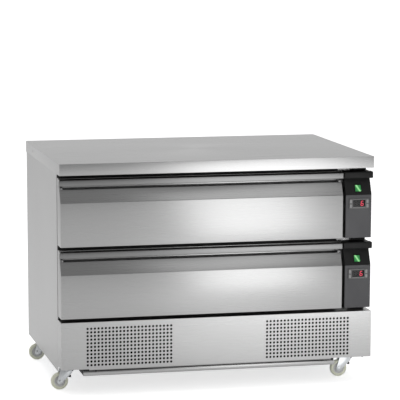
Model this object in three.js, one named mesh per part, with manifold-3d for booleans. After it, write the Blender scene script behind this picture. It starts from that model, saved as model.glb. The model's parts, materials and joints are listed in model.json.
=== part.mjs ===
// Undercounter refrigerator with two drawers, on castors.
// Millimetres. While it is built, x runs from the left side, y from the front and z from the floor.

import * as THREE from "three";
import { mergeVertices } from "three/addons/utils/BufferGeometryUtils.js";
import Module from "manifold-3d";

const wasm = await Module();
wasm.setup();

// Overall size
const width = 1176;
const depth = 800;
const height = 850;

// What stacks up from the floor
const casingBottom = 76;
const baseBottom = 97;
const baseTop = 271;
const baseGap = 13;
const drawerGap = 17;
const worktopGap = 14.5;
const worktopThickness = 42.5;

// What lies from front to back
const frontDepth = 75;
const sealSpace = 9;
const rearWall = 58;
const casingRear = 2;

// What lies from side to side
const frontInset = 3;
const casingLeft = 2;
const casingRight = 8;
const podWidth = 100;
const podInset = 6;
const podGap = 12;
const cavitySide = 50;
const flangePastPod = 42;

// Stock
const seat = 0.3;
const sheet = 1;
const worktopSheet = 1.5;
const worktopEdge = 1.2;
const chassisSheet = 2;
const chassisRim = 20;

// How far a cutter runs past what it cuts, and the facets of round pieces
const past = 1;
const smallRound = 8;
const rotorRound = 10;
const largeRound = 12;
const canRound = 14;
const wheelRound = 16;

// Drawer front, from its lower edge: face, and then the grip, made of a slope, a finger groove and a lip
const gripHeight = 85;
const slopeHeight = 47;
const slopeDepth = 22;
const grooveStep = 4;
const grooveDepth = 40;
const lipHeight = 22;
const lipFront = 9;
const lipThickness = 9;
const lipRound = 3;
const lipOverhang = 5;
const topRib = 3;
const topRibSetback = 34;
const endCap = 11;

// Cold compartment behind a drawer front
const cavityFloorRise = 32;
const cavityCeilingDrop = 34;

// Inner pan and gasket of a drawer front
const plugInset = 5;
const plugDepth = 14;
const gasketMargin = 14;
const gasketWidth = 13;

// Telescopic slide: three nested channels
const slideSpace = 13;
const slideFront = 90;
const slideLength = 500;
const slideRise = 68;
const outerRailHeight = 45;
const railSheet = 1.5;
const railFlange = 8;

// Bin
const binLength = 540;
const binFloorRise = 8;
const binHeight = 150;
const binRim = 6;

// Control pod
const podFront = 5;
const podLipRound = 6;
const podGripHeight = 86;
const fasciaThickness = 2;
const backPlateInset = 2;
const controllerDrop = 32;
const bezelWidth = 76;
const bezelHeight = 38;
const bezelThickness = 4;
const controllerWidth = 66;
const controllerHeight = 30;
const controllerDepth = 36;
const controllerOffset = 1;
const keyWidth = 8;
const keyHeight = 13;
const keyThickness = 2.1;
const keyProud = 0.4;
const keyPocketDepth = 2.9;
const keyColumn = 32;
const keyRow = 8.5;
const switchWidth = 22;
const switchHeight = 26;
const switchPocketDepth = 13;
const switchEndGap = 1.2;
const rockerDip = 1;
const rockerProud = 4.2;
const rockerBack = 6.5;
const rockerShoulder = 3;
const rockerTipGap = 1;

// Perforated base front
const grilleColumns = 24;
const grilleRows = 11;
const grillePitch = 13.5;
const grilleHole = 5.4;
const grilleBottom = 112;
const leftGrilleStart = 99;
const rightGrilleEnd = 93;
const panelReturn = 12;

// Open window behind the machinery, and the cable gland beside it
const windowFromLeft = 70;
const windowFromRight = 120;
const windowBottom = 122;
const windowTop = 262;
const glandRadius = 11;
const glandHeight = 150;
const glandFromRight = 90;
const glandBore = 5;
const glandLip = 3;
const glandChamfer = 1;

// Condensing unit of each drawer
const coilLength = 260;
const coilDepth = 42;
const coilHeight = 158;
const coilFront = 92;
const coilSide = 112;
const finCount = 9;
const finThickness = 3;
const coilSpine = 4;
const condenserFanRadius = 66;
const compressorRadius = 62;
const compressorHeight = 118;
const compressorY = 470;
const footThickness = 14;

// Evaporator of each drawer
const evaporatorCover = 2;
const evaporatorDepth = 44;
const evaporatorLength = 480;
const evaporatorFromLeft = 90;
const evaporatorFanRadius = 56;
const evaporatorFanFromRight = 190;

// Fans
const fanBlades = 4;
const fanDepth = 13;
const fanClearance = 6;
const hubShare = 0.32;
const bladePitch = 0.55;
const bladeThickness = 2;
const motorRadius = 17;
const motorLength = 16;
const strutWidth = 12;
const strutThickness = 3;

// Tray under the base
const trayLeft = 86;
const trayRightInset = 137;
const trayFront = 18;
const trayBarHeight = 15;
const trayBarDepth = 12;
const trayBottom = 68;
const trayEndInset = 26;
const trayLength = 400;
const runnerTie = 12;

// Castors, placed by their swivel axes
const castorFromLeft = 39;
const castorFromRight = 66;
const castorFromFront = 122;
const castorFromRear = 138;
const castorTrail = 25;
const castorPlateThickness = 3;
const wheelRadius = 32;
const wheelWidth = 20;
const axleRadius = 4;
const forkWall = 2.5;
const forkGap = 2;
const crownRadius = 24;
const crownHeight = 7;
const plateMargin = 8;
const legHalf = 20;
const legHeel = 24;
const footHalf = 11;
const footDrop = 9;
const hubSetback = 2;
const tyreShoulder = 4;
const tyreDepth = 7;

// Brake pedal, placed by its pivot, with its pad just off the tyre
const pedalForward = 16;
const pedalDrop = 15;
const brakeGap = 4;
const padAngle = 0.7;
const padLength = 8;
const pedalBelly = 6;
const pedalSag = 2;
const toeReach = 15;
const toeRise = 10;
const toeThickness = 4;
const toeLip = 3;
const neckReach = 1;
const neckRise = 9;

// Levels and edges that follow
const worktopUnderside = height - worktopThickness;
const frontHeight = (worktopUnderside - worktopGap - baseTop - baseGap - drawerGap) / 2;
const faceHeight = frontHeight - gripHeight;
const podFaceTop = frontHeight - podGripHeight;
const controllerRise = podFaceTop - controllerDrop;
const lowerFloor = baseTop + baseGap;
const upperFloor = lowerFloor + frontHeight + drawerGap;
const casingX0 = casingLeft;
const casingX1 = width - casingRight;
const casingY1 = depth - casingRear;
const faceY = frontDepth + seat;
const podX1 = width - podInset;
const podX0 = podX1 - podWidth;
const podCentre = (podX0 + podX1) / 2;
const frontX0 = frontInset;
const frontX1 = podX0 - podGap;
const frontBackY = frontDepth - sealSpace;
const cavityX0 = frontX0 + cavitySide;
const cavityX1 = frontX1 - cavitySide;
const cavityY1 = depth - rearWall;
const flangeX1 = podX0 + flangePastPod;
const binFront = frontBackY + plugDepth + seat;
const trayRight = width - trayRightInset;
const hangTop = baseBottom - chassisSheet - seat;
const castorOverhang = wheelRadius + castorTrail - castorFromLeft;

// Shapes

function box(x0, x1, y0, y1, z0, z1) {
  const block = new THREE.BoxGeometry(x1 - x0, y1 - y0, z1 - z0);
  return block.translate((x0 + x1) / 2, (y0 + y1) / 2, (z0 + z1) / 2);
}

function shapeOf(points) {
  return new THREE.Shape(points.map(([u, v]) => new THREE.Vector2(u, v)));
}

function rectangle(u0, u1, v0, v1) {
  return [[u0, v0], [u1, v0], [u1, v1], [u0, v1]];
}

// An outline swept straight along an axis: [y, z] along x, [x, z] along y, or [x, y] along z.
function prism(axis, outline, from, to, holes = []) {
  const shape = shapeOf(outline);
  shape.holes = holes.map(shapeOf);
  const swept = new THREE.ExtrudeGeometry(shape, { depth: to - from, bevelEnabled: false });
  const x = new THREE.Vector3(1, 0, 0);
  const y = new THREE.Vector3(0, 1, 0);
  const z = new THREE.Vector3(0, 0, 1);
  const turn = new THREE.Matrix4();
  if (axis === "x") turn.makeBasis(y, z, x).setPosition(from, 0, 0);
  if (axis === "y") turn.makeBasis(x, z, y.negate()).setPosition(0, to, 0);
  if (axis === "z") turn.makeBasis(x, y, z).setPosition(0, 0, from);
  return swept.applyMatrix4(turn);
}

// A cylinder whose axis lies along y.
function roller(radius, x, y0, y1, z, sides = smallRound) {
  const round = new THREE.CylinderGeometry(radius, radius, y1 - y0, sides);
  return round.translate(x, (y0 + y1) / 2, z);
}

// Each edge of an outline, given anticlockwise, moved inwards by the same distance.
function inset(outline, distance) {
  const count = outline.length;
  const edges = outline.map(([u, v], i) => {
    const [nextU, nextV] = outline[(i + 1) % count];
    const length = Math.hypot(nextU - u, nextV - v);
    const normal = [-(nextV - v) / length, (nextU - u) / length];
    return { normal, offset: normal[0] * u + normal[1] * v + distance };
  });
  return edges.map((edge, i) => {
    const last = edges[(i + count - 1) % count];
    const [a, b] = last.normal;
    const [c, d] = edge.normal;
    const scale = a * d - b * c;
    return [(last.offset * d - b * edge.offset) / scale, (a * edge.offset - last.offset * c) / scale];
  });
}

// Joining and cutting

function solidOf(geometry) {
  const bare = geometry.clone();
  bare.deleteAttribute("normal");
  bare.deleteAttribute("uv");
  const merged = mergeVertices(bare, 1e-4);
  const vertProperties = new Float32Array(merged.attributes.position.array);
  const triVerts = new Uint32Array(merged.index.array);
  return new wasm.Manifold(new wasm.Mesh({ numProp: 3, vertProperties, triVerts }));
}

function geometryOf(solid) {
  const mesh = solid.getMesh();
  const geometry = new THREE.BufferGeometry();
  geometry.setAttribute("position", new THREE.BufferAttribute(new Float32Array(mesh.vertProperties), 3));
  geometry.setIndex(new THREE.BufferAttribute(new Uint32Array(mesh.triVerts), 1));
  return geometry;
}

function union(geometries) {
  return geometries.map(solidOf).reduce((whole, next) => whole.add(next));
}

function join(...pieces) {
  return geometryOf(union(pieces));
}

function cut(body, ...tools) {
  return geometryOf(solidOf(body).subtract(union(tools)));
}

// Finishes

const finishes = {
  steel: { color: 0xb9babb, roughness: 0.34, metalness: 0.9 },
  darkSteel: { color: 0x2a2b2c, roughness: 0.6, metalness: 0.4 },
  zinc: { color: 0xc9cccf, roughness: 0.35, metalness: 0.9 },
  foam: { color: 0xe6dcb4, roughness: 0.95, metalness: 0 },
  board: { color: 0xa98d63, roughness: 0.9, metalness: 0 },
  pan: { color: 0xe4e6e6, roughness: 0.5, metalness: 0 },
  rubber: { color: 0x2c2c2e, roughness: 0.85, metalness: 0 },
  black: { color: 0x1f2022, roughness: 0.45, metalness: 0 },
  fascia: { color: 0x57585b, roughness: 0.55, metalness: 0 },
  green: { color: 0x37c05a, roughness: 0.25, metalness: 0 },
  display: { color: 0x24262a, roughness: 0.3, metalness: 0 },
  key: { color: 0xc8c8c8, roughness: 0.5, metalness: 0 },
  tyre: { color: 0xc9cbb2, roughness: 0.7, metalness: 0 },
  enamel: { color: 0x1a1b1d, roughness: 0.4, metalness: 0.3 },
  aluminium: { color: 0xc4c7ca, roughness: 0.45, metalness: 0.9 },
};

function piece(group, name, finish, geometry) {
  const mesh = new THREE.Mesh(geometry, new THREE.MeshStandardMaterial(finishes[finish]));
  mesh.name = name;
  group.add(mesh);
  return mesh;
}

// Worktop

function worktopSkin() {
  const edge = worktopEdge;
  const outline = shapeOf(rectangle(edge, width - edge, edge, depth - edge));
  const block = new THREE.ExtrudeGeometry(outline, {
    depth: worktopThickness,
    bevelSize: edge,
    bevelThickness: edge,
    bevelSegments: 2,
  }).translate(0, 0, worktopUnderside - edge);
  const inside = worktopSheet;
  const below = box(-past, width + past, -past, depth + past, worktopUnderside - 2 * edge, worktopUnderside);
  const bottom = worktopUnderside - edge;
  const hollow = box(inside, width - inside, inside, depth - inside, bottom, height - inside);
  return cut(block, below, hollow);
}

function worktopCore() {
  const gap = worktopSheet + seat;
  return box(gap, width - gap, gap, depth - gap, worktopUnderside, height - gap);
}

// Casing: left side, back and right side folded from one sheet

function casing() {
  const inner = casingY1 - sheet;
  const folded = [
    [casingX0, faceY], [casingX0 + sheet, faceY], [casingX0 + sheet, inner], [casingX1 - sheet, inner],
    [casingX1 - sheet, faceY], [casingX1, faceY], [casingX1, casingY1], [casingX0, casingY1],
  ];
  const walls = prism("z", folded, casingBottom, worktopUnderside - seat);
  const back = casingY1 + past;
  const window = box(windowFromLeft, width - windowFromRight, inner - past, back, windowBottom, windowTop);
  const hole = roller(glandRadius + seat, width - glandFromRight, inner - past, back, glandHeight);
  return cut(walls, window, hole);
}

// Rubber bush with a flange on each side of the sheet
function cableGland() {
  const neck = sheet / 2 + seat;
  const inside = -neck - glandLip;
  const outside = neck + casingRear - seat - glandChamfer;
  const outline = [
    [glandBore, inside], [glandRadius + glandLip, inside], [glandRadius + glandLip, -neck],
    [glandRadius, -neck], [glandRadius, neck], [glandRadius + glandLip, neck],
    [glandRadius + glandLip - glandChamfer, outside], [glandBore, outside], [glandBore, inside],
  ];
  const bush = new THREE.LatheGeometry(outline.map(([r, y]) => new THREE.Vector2(r, y)), smallRound);
  return bush.translate(width - glandFromRight, casingY1 - sheet / 2, glandHeight);
}

// Cold compartments. floor is the level of the drawer front's lower edge.

function cavityLevels(floor) {
  return [floor + cavityFloorRise, floor + frontHeight - cavityCeilingDrop];
}

function cavityBlock(floor, grow, front) {
  const [low, high] = cavityLevels(floor);
  return box(cavityX0 - grow, cavityX1 + grow, front, cavityY1 + grow, low - grow, high + grow);
}

function insulation() {
  const gap = sheet + seat;
  const front = faceY + sheet + seat;
  const block = box(casingX0 + gap, casingX1 - gap, front, casingY1 - gap, baseTop, worktopUnderside - seat);
  const cavities = [lowerFloor, upperFloor].map((floor) => cavityBlock(floor, sheet + seat, front - past));
  return cut(block, ...cavities);
}

// Sheet tub with a front flange, and the outer channel of each slide welded to its sides
function liner(floor, bottom, top) {
  const tub = cut(cavityBlock(floor, sheet, faceY), cavityBlock(floor, 0, faceY - past));
  const [low, high] = cavityLevels(floor);
  const flange = prism(
    "y",
    rectangle(casingX0 + sheet + seat, flangeX1, bottom + seat / 2, top - seat / 2),
    faceY,
    faceY + sheet,
    [rectangle(cavityX0 - sheet / 2, cavityX1 + sheet / 2, low - sheet / 2, high + sheet / 2)],
  );
  return join(tub, flange, ...railPair(floor, "outer"));
}

// Telescopic slides

// How far a channel's web stands off the compartment's wall, how far its flanges reach, and its height
function railSection(member) {
  const step = railSheet + seat;
  const sections = {
    outer: { web: -sheet / 2, reach: railFlange, height: outerRailHeight },
    middle: { web: step, reach: railFlange + step, height: outerRailHeight - 2 * step },
    inner: { web: 2 * step, reach: slideSpace + sheet / 2, height: outerRailHeight - 4 * step },
  };
  return sections[member];
}

function rail(floor, member, side) {
  const { web, reach, height: tall } = railSection(member);
  const wall = side === "left" ? cavityX0 : cavityX1;
  const inward = side === "left" ? 1 : -1;
  const middle = cavityLevels(floor)[0] + slideRise;
  const half = tall / 2;
  const back = Math.max(web, 0) + railSheet;
  const channel = [
    [web, -half], [reach, -half], [reach, railSheet - half], [back, railSheet - half],
    [back, half - railSheet], [reach, half - railSheet], [reach, half], [web, half],
  ].map(([x, z]) => [wall + inward * x, middle + z]);
  return prism("y", channel, slideFront, slideFront + slideLength);
}

function railPair(floor, member) {
  return [rail(floor, member, "left"), rail(floor, member, "right")];
}

// Drawer front

// Section of the front, anticlockwise in [y, z] from the lower front edge, with the groove behind the lip
function frontSection(floor, back) {
  const slopeTop = faceHeight + slopeHeight;
  const lipBottom = frontHeight - topRib - lipHeight;
  const lipTop = frontHeight - topRib;
  const lipBack = lipFront + lipThickness;
  const grooveTop = lipTop - lipThickness;
  const outline = [
    [0, 0], [back, 0], [back, frontHeight], [lipFront + topRibSetback, frontHeight],
    [lipFront + topRibSetback, lipTop], [lipFront + lipRound, lipTop], [lipFront, lipTop - lipRound],
    [lipFront, lipBottom + lipRound], [lipFront + lipRound, lipBottom], [lipBack, lipBottom],
    [lipBack, grooveTop], [grooveDepth, grooveTop], [grooveDepth, slopeTop + grooveStep],
    [slopeDepth, slopeTop], [0, faceHeight],
  ];
  return outline.map(([y, z]) => [y, floor + z]);
}

// The end caps close the groove and carry the slope on up to the lip.
function capSection(floor) {
  const lipBottom = frontHeight - topRib - lipHeight;
  const slope = slopeDepth / slopeHeight;
  const outline = [
    [0, 0], [frontBackY, 0], [frontBackY, frontHeight - topRib], [lipFront + lipRound, frontHeight - topRib],
    [lipFront + lipRound, lipBottom], [(lipBottom - faceHeight) * slope, lipBottom], [0, faceHeight],
  ];
  return outline.map(([y, z]) => [y, floor + z]);
}

function lipSection(floor) {
  const top = frontHeight - topRib;
  const bottom = top - lipHeight;
  const back = lipFront + lipThickness;
  const outline = [
    [lipFront + lipRound, bottom], [back, bottom], [back, top], [lipFront + lipRound, top],
    [lipFront, top - lipRound], [lipFront, bottom + lipRound],
  ];
  return outline.map(([y, z]) => [y, floor + z]);
}

// Folded skin, open at the back
function frontShell(floor) {
  const middle = prism("x", frontSection(floor, frontBackY), frontX0, frontX1);
  const leftCap = prism("x", capSection(floor), frontX0, frontX0 + endCap);
  const rightCap = prism("x", capSection(floor), frontX1 - endCap, frontX1);
  const lip = prism("x", lipSection(floor), frontX0 - lipOverhangLeft(), frontX1 + lipOverhang);
  const hollow = inset(frontSection(floor, frontBackY + 2 * sheet), sheet);
  const inside = prism("x", hollow, frontX0 + sheet, frontX1 - sheet);
  return cut(join(middle, leftCap, rightCap, lip), inside);
}

// On the left the lip may not pass the worktop's side.
function lipOverhangLeft() {
  return Math.min(lipOverhang, frontInset);
}

// Foamed core with the inner pan, whose plug enters the compartment's mouth
function frontCore(floor) {
  const gap = sheet + seat;
  const core = prism("x", inset(frontSection(floor, frontBackY + gap), gap), frontX0 + gap, frontX1 - gap);
  const [low, high] = cavityLevels(floor);
  const start = frontBackY - past;
  const end = frontBackY + plugDepth;
  const rim = plugInset;
  const plug = box(cavityX0 + rim, cavityX1 - rim, start, end, low + rim, high - rim);
  return join(core, plug);
}

function gasket(floor) {
  const margin = gasketMargin;
  const inner = margin + gasketWidth;
  const outline = rectangle(frontX0 + margin, frontX1 - margin, floor + margin, floor + frontHeight - margin);
  const opening = rectangle(frontX0 + inner, frontX1 - inner, floor + inner, floor + frontHeight - inner);
  return prism("y", outline, frontBackY + seat, frontDepth, [opening]);
}

// Bin of sheet with a rim, and the inner channel of each slide welded to its sides

function bin(floor) {
  const x0 = cavityX0 + slideSpace;
  const x1 = cavityX1 - slideSpace;
  const z0 = cavityLevels(floor)[0] + binFloorRise;
  const z1 = z0 + binHeight;
  const y1 = binFront + binLength;
  const block = box(x0, x1, binFront, y1, z0, z1);
  const rim = box(x0 - binRim, x1 + binRim, binFront, y1, z1 - sheet, z1);
  const space = box(x0 + sheet, x1 - sheet, binFront + sheet, y1 - sheet, z0 + sheet, z1 + past);
  return cut(join(block, rim, ...railPair(floor, "inner")), space);
}

// Control pod

// Moulded body in [y, z]: recess for the fascia, slope for the switch, and the lip on top
function podSection(floor) {
  const recess = podFront + fasciaThickness + seat;
  const ledge = podFaceTop + seat;
  const lipBottom = frontHeight - lipHeight - topRib;
  const slope = slopeDepth / slopeHeight;
  const outline = [
    [recess, 0], [frontDepth, 0], [frontDepth, frontHeight], ...lipNose(),
    [podFront + (lipBottom - ledge) * slope, lipBottom], [podFront, ledge], [recess, ledge],
  ];
  return outline.map(([y, z]) => [y, floor + z]);
}

// Front of the pod's lip, from its top to its underside
function lipNose() {
  const bottom = frontHeight - lipHeight - topRib;
  const round = podLipRound;
  return [
    [podFront + round, frontHeight], [podFront, frontHeight - round],
    [podFront, bottom + round / 2], [podFront + round / 2, bottom],
  ];
}

function podLipSection(floor) {
  const bottom = frontHeight - lipHeight - topRib;
  const back = podFront + slopeDepth + podLipRound;
  return [[back, bottom], [back, frontHeight], ...lipNose()].map(([y, z]) => [y, floor + z]);
}

// Middle of the slope, where the switch sits, and the slope's angle
function switchPlace(floor) {
  const angle = Math.atan2(slopeDepth, slopeHeight);
  const along = slopeHeight / 2;
  return { y: podFront + slopeDepth / 2, z: floor + podFaceTop + seat + along, angle };
}

function atSwitch(geometry, floor) {
  const { y, z, angle } = switchPlace(floor);
  return geometry.rotateX(-angle).translate(podCentre, y, z);
}

function podHousing(floor, bottom, top) {
  const pod = prism("x", podSection(floor), podX0, podX1);
  const lip = prism("x", podLipSection(floor), podX0 - lipOverhang, podX1 + lipOverhang);
  const plateX1 = casingX1 - backPlateInset;
  const plate = box(flangeX1 + seat, plateX1, frontBackY, frontDepth, bottom + seat / 2, top - seat / 2);
  const halfX = switchWidth / 2 + seat;
  const halfZ = switchHeight / 2 + switchEndGap;
  const switchPocket = atSwitch(box(-halfX, halfX, -2 * podFront, switchPocketDepth, -halfZ, halfZ), floor);
  const body = controllerBlock(floor, seat, 0, podFront + controllerDepth + seat);
  return cut(join(pod, lip, plate), switchPocket, body);
}

function controllerBlock(floor, grow, front, back) {
  const x = podCentre + controllerOffset;
  const z = floor + controllerRise;
  const halfX = controllerWidth / 2 + grow;
  const halfZ = controllerHeight / 2 + grow;
  return box(x - halfX, x + halfX, front, back, z - halfZ, z + halfZ);
}

function fascia(floor) {
  const plate = box(podX0, podX1, podFront, podFront + fasciaThickness, floor, floor + podFaceTop);
  return cut(plate, controllerBlock(floor, seat, 0, frontDepth));
}

// Bezel and body, with a pocket for each key
function controller(floor) {
  const x = podCentre + controllerOffset;
  const z = floor + controllerRise;
  const back = podFront - seat;
  const front = back - bezelThickness;
  const halfX = bezelWidth / 2;
  const halfZ = bezelHeight / 2;
  const bezel = box(x - halfX, x + halfX, front, back, z - halfZ, z + halfZ);
  const body = controllerBlock(floor, 0, front + past, podFront + controllerDepth);
  const pockets = keyPlaces.map(([column, row]) => {
    const sideX = keyWidth / 2 + seat;
    const sideZ = keyHeight / 2 + seat;
    const u = x + column * keyColumn;
    const v = z + row * keyRow;
    return box(u - sideX, u + sideX, 0, front + keyPocketDepth, v - sideZ, v + sideZ);
  });
  return cut(join(bezel, body), ...pockets);
}

// Columns left and right of the display, rows above each other
const keyPlaces = [[-1, 1], [-1, -1], [1, 1], [1, -1]];

function keyCap(floor, [column, row]) {
  const x = podCentre + controllerOffset + column * keyColumn;
  const z = floor + controllerRise + row * keyRow;
  const front = podFront - seat - bezelThickness - keyProud;
  const halfX = keyWidth / 2;
  const halfZ = keyHeight / 2;
  return box(x - halfX, x + halfX, front, front + keyThickness, z - halfZ, z + halfZ);
}

// Rocker: its upper half is pressed in, and its back is round enough to swing in the pocket.
function rocker(floor) {
  const tip = switchHeight / 2 - rockerTipGap;
  const outline = [
    [-rockerDip, tip], [-rockerDip, 0], [-rockerProud, -tip],
    [rockerShoulder, -tip], [rockerBack, 0], [rockerShoulder, tip],
  ];
  return atSwitch(prism("x", outline, -switchWidth / 2, switchWidth / 2), floor);
}

// Base front

function grilleHoles(start) {
  const half = grilleHole / 2;
  const cells = Array.from({ length: grilleColumns * grilleRows }, (_, i) => i);
  return cells.map((i) => {
    const x = start + (i % grilleColumns) * grillePitch;
    const z = grilleBottom + Math.floor(i / grilleColumns) * grillePitch;
    return box(x - half, x + half, -past, sheet + past, z - half, z + half);
  });
}

// Perforated sheet with a short return all round
function baseFrontPanel() {
  const x0 = casingX0;
  const x1 = width - casingLeft;
  const rightStart = width - rightGrilleEnd - (grilleColumns - 1) * grillePitch;
  const face = box(x0, x1, 0, sheet, baseBottom, baseTop);
  const gap = sheet + seat;
  const outer = rectangle(x0 + gap, x1 - gap, baseBottom + gap, baseTop - gap);
  const inside = gap + sheet;
  const inner = rectangle(x0 + inside, x1 - inside, baseBottom + inside, baseTop - inside);
  const fold = prism("y", outer, sheet / 2, panelReturn, [inner]);
  return cut(join(face, fold), ...grilleHoles(leftGrilleStart), ...grilleHoles(rightStart));
}

// Four-sided box that stands the perforated sheet off the machinery
function baseSurround() {
  const x0 = casingX0;
  const x1 = width - casingLeft;
  const outer = rectangle(x0, x1, baseBottom, baseTop);
  const inner = rectangle(x0 + sheet, x1 - sheet, baseBottom + sheet, baseTop - sheet);
  return prism("y", outer, sheet + seat, frontDepth, [inner]);
}

// Chassis pan with its upturned rim and the four castor plates under it

function chassis() {
  const gap = sheet + seat;
  const x0 = casingX0 + gap;
  const x1 = casingX1 - gap;
  const y1 = casingY1 - gap;
  const wall = chassisSheet;
  const floor = box(x0, x1, faceY, y1, baseBottom - wall, baseBottom);
  const upturn = prism("z", rectangle(x0, x1, faceY, y1), baseBottom - wall, baseBottom + chassisRim, [
    rectangle(x0 + wall, x1 - wall, faceY + wall, y1 - wall),
  ]);
  return join(floor, upturn, ...castorPlaces.map(castorPlate));
}

function castorPlate({ x, y }) {
  const top = baseBottom - chassisSheet;
  const half = crownRadius + plateMargin;
  return box(x - half, x + half, y - half, y + half, top - castorPlateThickness, top + past);
}

// Tray hung between two dark runners, with its folded bar in front

function tray() {
  const x0 = trayLeft + trayEndInset;
  const x1 = trayRight - trayEndInset;
  const y0 = trayFront + trayBarDepth;
  const rim = trayBottom + trayBarHeight;
  const block = box(x0, x1, y0 - sheet, y0 + trayLength, trayBottom, rim);
  const hollow = box(x0 + sheet, x1 - sheet, y0, y0 + trayLength - sheet, trayBottom + sheet, rim + past);
  const folded = [
    [trayFront, trayBottom], [y0, trayBottom], [y0, rim], [y0 - sheet, rim],
    [y0 - sheet, trayBottom + sheet], [trayFront + sheet, trayBottom + sheet],
    [trayFront + sheet, rim], [trayFront, rim],
  ];
  return cut(join(block, prism("x", folded, trayLeft, trayRight)), hollow);
}

// Two runners under the chassis, tied at the back
function trayRunners() {
  const y0 = trayFront + trayBarDepth + seat;
  const y1 = trayFront + trayBarDepth + trayLength + seat;
  const inner = [trayLeft + trayEndInset - seat, trayRight - trayEndInset + seat];
  const plan = [
    [trayLeft, y0], [inner[0], y0], [inner[0], y1], [inner[1], y1],
    [inner[1], y0], [trayRight, y0], [trayRight, y1 + runnerTie], [trayLeft, y1 + runnerTie],
  ];
  return prism("z", plan, trayBottom + sheet, hangTop);
}

// Refrigeration

// Fins joined by a spine, as a comb: x runs along the spine, and the other coordinate from it to the tips.
function finSection(x0, length, spineAt, tipAt) {
  const pitch = (length - finThickness) / (finCount - 1);
  const spine = spineAt + Math.sign(tipAt - spineAt) * coilSpine;
  const teeth = Array.from({ length: finCount }, (_, i) => x0 + i * pitch).flatMap((x, i) => {
    const last = i === finCount - 1;
    const tooth = [[x, tipAt], [x + finThickness, tipAt]];
    if (!last) tooth.push([x + finThickness, spine], [x + pitch, spine]);
    return tooth;
  });
  return [[x0, spineAt], ...teeth, [x0 + length, spineAt]];
}

// Two legs, a cross strut and the motor, which hold a fan behind a plate's opening
function fanCradle(x, z, plateY, radius) {
  const strutY = plateY + fanDepth + motorLength;
  const halfWide = strutWidth / 2;
  const reach = radius + fanClearance;
  const legs = [-1, 1].map((side) => {
    const inner = z + side * reach;
    const outer = inner + side * strutThickness;
    const [low, high] = [Math.min(inner, outer), Math.max(inner, outer)];
    return box(x - halfWide, x + halfWide, plateY - sheet / 2, strutY + strutThickness, low, high);
  });
  const strut = box(x - halfWide, x + halfWide, strutY, strutY + strutThickness, z - reach, z + reach);
  const motor = roller(motorRadius, x, plateY + fanDepth + seat, strutY + past, z);
  return [...legs, strut, motor];
}

function roundOpening(x, z, radius) {
  return Array.from({ length: largeRound }, (_, i) => {
    const angle = ((i + 0.5) / largeRound) * 2 * Math.PI;
    return [x + radius * Math.cos(angle), z + radius * Math.sin(angle)];
  });
}

// Finned coil whose air leaves through the shroud's opening, and the fan cradle behind it
function condenser(x0) {
  const z0 = baseBottom + seat;
  const z1 = z0 + coilHeight;
  const back = coilFront + coilDepth;
  const { x, z } = condenserFanPlace(x0);
  const fins = prism("y", finSection(x0, coilLength, z1, z0), coilFront, back);
  const opening = roundOpening(x, z, condenserFanRadius + fanClearance);
  const shroud = prism("y", rectangle(x0, x0 + coilLength, z0, z1), back - past, back + sheet, [opening]);
  return join(fins, shroud, ...fanCradle(x, z, back + sheet, condenserFanRadius));
}

function condenserFanPlace(x0) {
  return { x: x0 + coilLength / 2, y: coilFront + coilDepth + sheet, z: baseBottom + seat + coilHeight / 2 };
}

// Hermetic can on its foot plate. The can's outline is in shares of its radius and height.
const canOutline = [[0, 0], [0.8, 0], [1, 0.2], [1, 0.7], [0.82, 0.92], [0, 1]];

function compressor(x) {
  const z = baseBottom + seat;
  const radius = compressorRadius;
  const outline = canOutline.map(([u, v]) => new THREE.Vector2(u * radius, v * compressorHeight));
  const can = new THREE.LatheGeometry(outline, canRound);
  can.rotateX(Math.PI / 2).translate(x, compressorY, z + footThickness - past);
  const y = compressorY;
  const plate = box(x - radius, x + radius, y - radius, y + radius, z, z + footThickness);
  return join(can, plate);
}

// Cover plate across the back of the compartment, with the finned coil and the fan cradle behind it
function evaporator(floor) {
  const [low, high] = cavityLevels(floor);
  const back = cavityY1 - seat;
  const coverY = back - evaporatorDepth;
  const { x, z } = evaporatorFanPlace(floor);
  const cover = prism(
    "y",
    rectangle(cavityX0 + seat, cavityX1 - seat, low + seat, high - seat),
    coverY - evaporatorCover,
    coverY,
    [roundOpening(x, z, evaporatorFanRadius + fanClearance)],
  );
  const x0 = cavityX0 + evaporatorFromLeft;
  const coil = prism("z", finSection(x0, evaporatorLength, coverY - past, back), low + seat, high - seat);
  return join(cover, coil, ...fanCradle(x, z, coverY, evaporatorFanRadius));
}

function evaporatorFanPlace(floor) {
  const [low, high] = cavityLevels(floor);
  const y = cavityY1 - seat - evaporatorDepth;
  return { x: cavityX1 - evaporatorFanFromRight, y, z: (low + high) / 2 };
}

// Hub with pitched blades, turning about y, its back against the motor
function fan(radius) {
  const hub = radius * hubShare;
  const rotor = roller(hub, 0, 0, fanDepth, 0, rotorRound);
  const blades = Array.from({ length: fanBlades }, (_, i) => {
    const halfThick = bladeThickness / 2;
    const chord = (fanDepth - 2 * bladeThickness) / Math.sin(bladePitch);
    const blade = box(-chord / 2, chord / 2, -halfThick, halfThick, hub / 2, radius);
    blade.rotateZ(bladePitch).translate(0, fanDepth / 2, 0);
    return blade.rotateY((i / fanBlades) * 2 * Math.PI);
  });
  return join(rotor, ...blades);
}

// Castors, built about the swivel axis with the wheel trailing to the left

const castorPlaces = [
  { name: "front_left", x: castorFromLeft, y: castorFromFront, brake: true },
  { name: "front_right", x: width - castorFromRight, y: castorFromFront, brake: true },
  { name: "rear_left", x: castorFromLeft, y: depth - castorFromRear, brake: false },
  { name: "rear_right", x: width - castorFromRight, y: depth - castorFromRear, brake: false },
];

const crownUnderside = baseBottom - chassisSheet - castorPlateThickness - seat - crownHeight;

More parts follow.
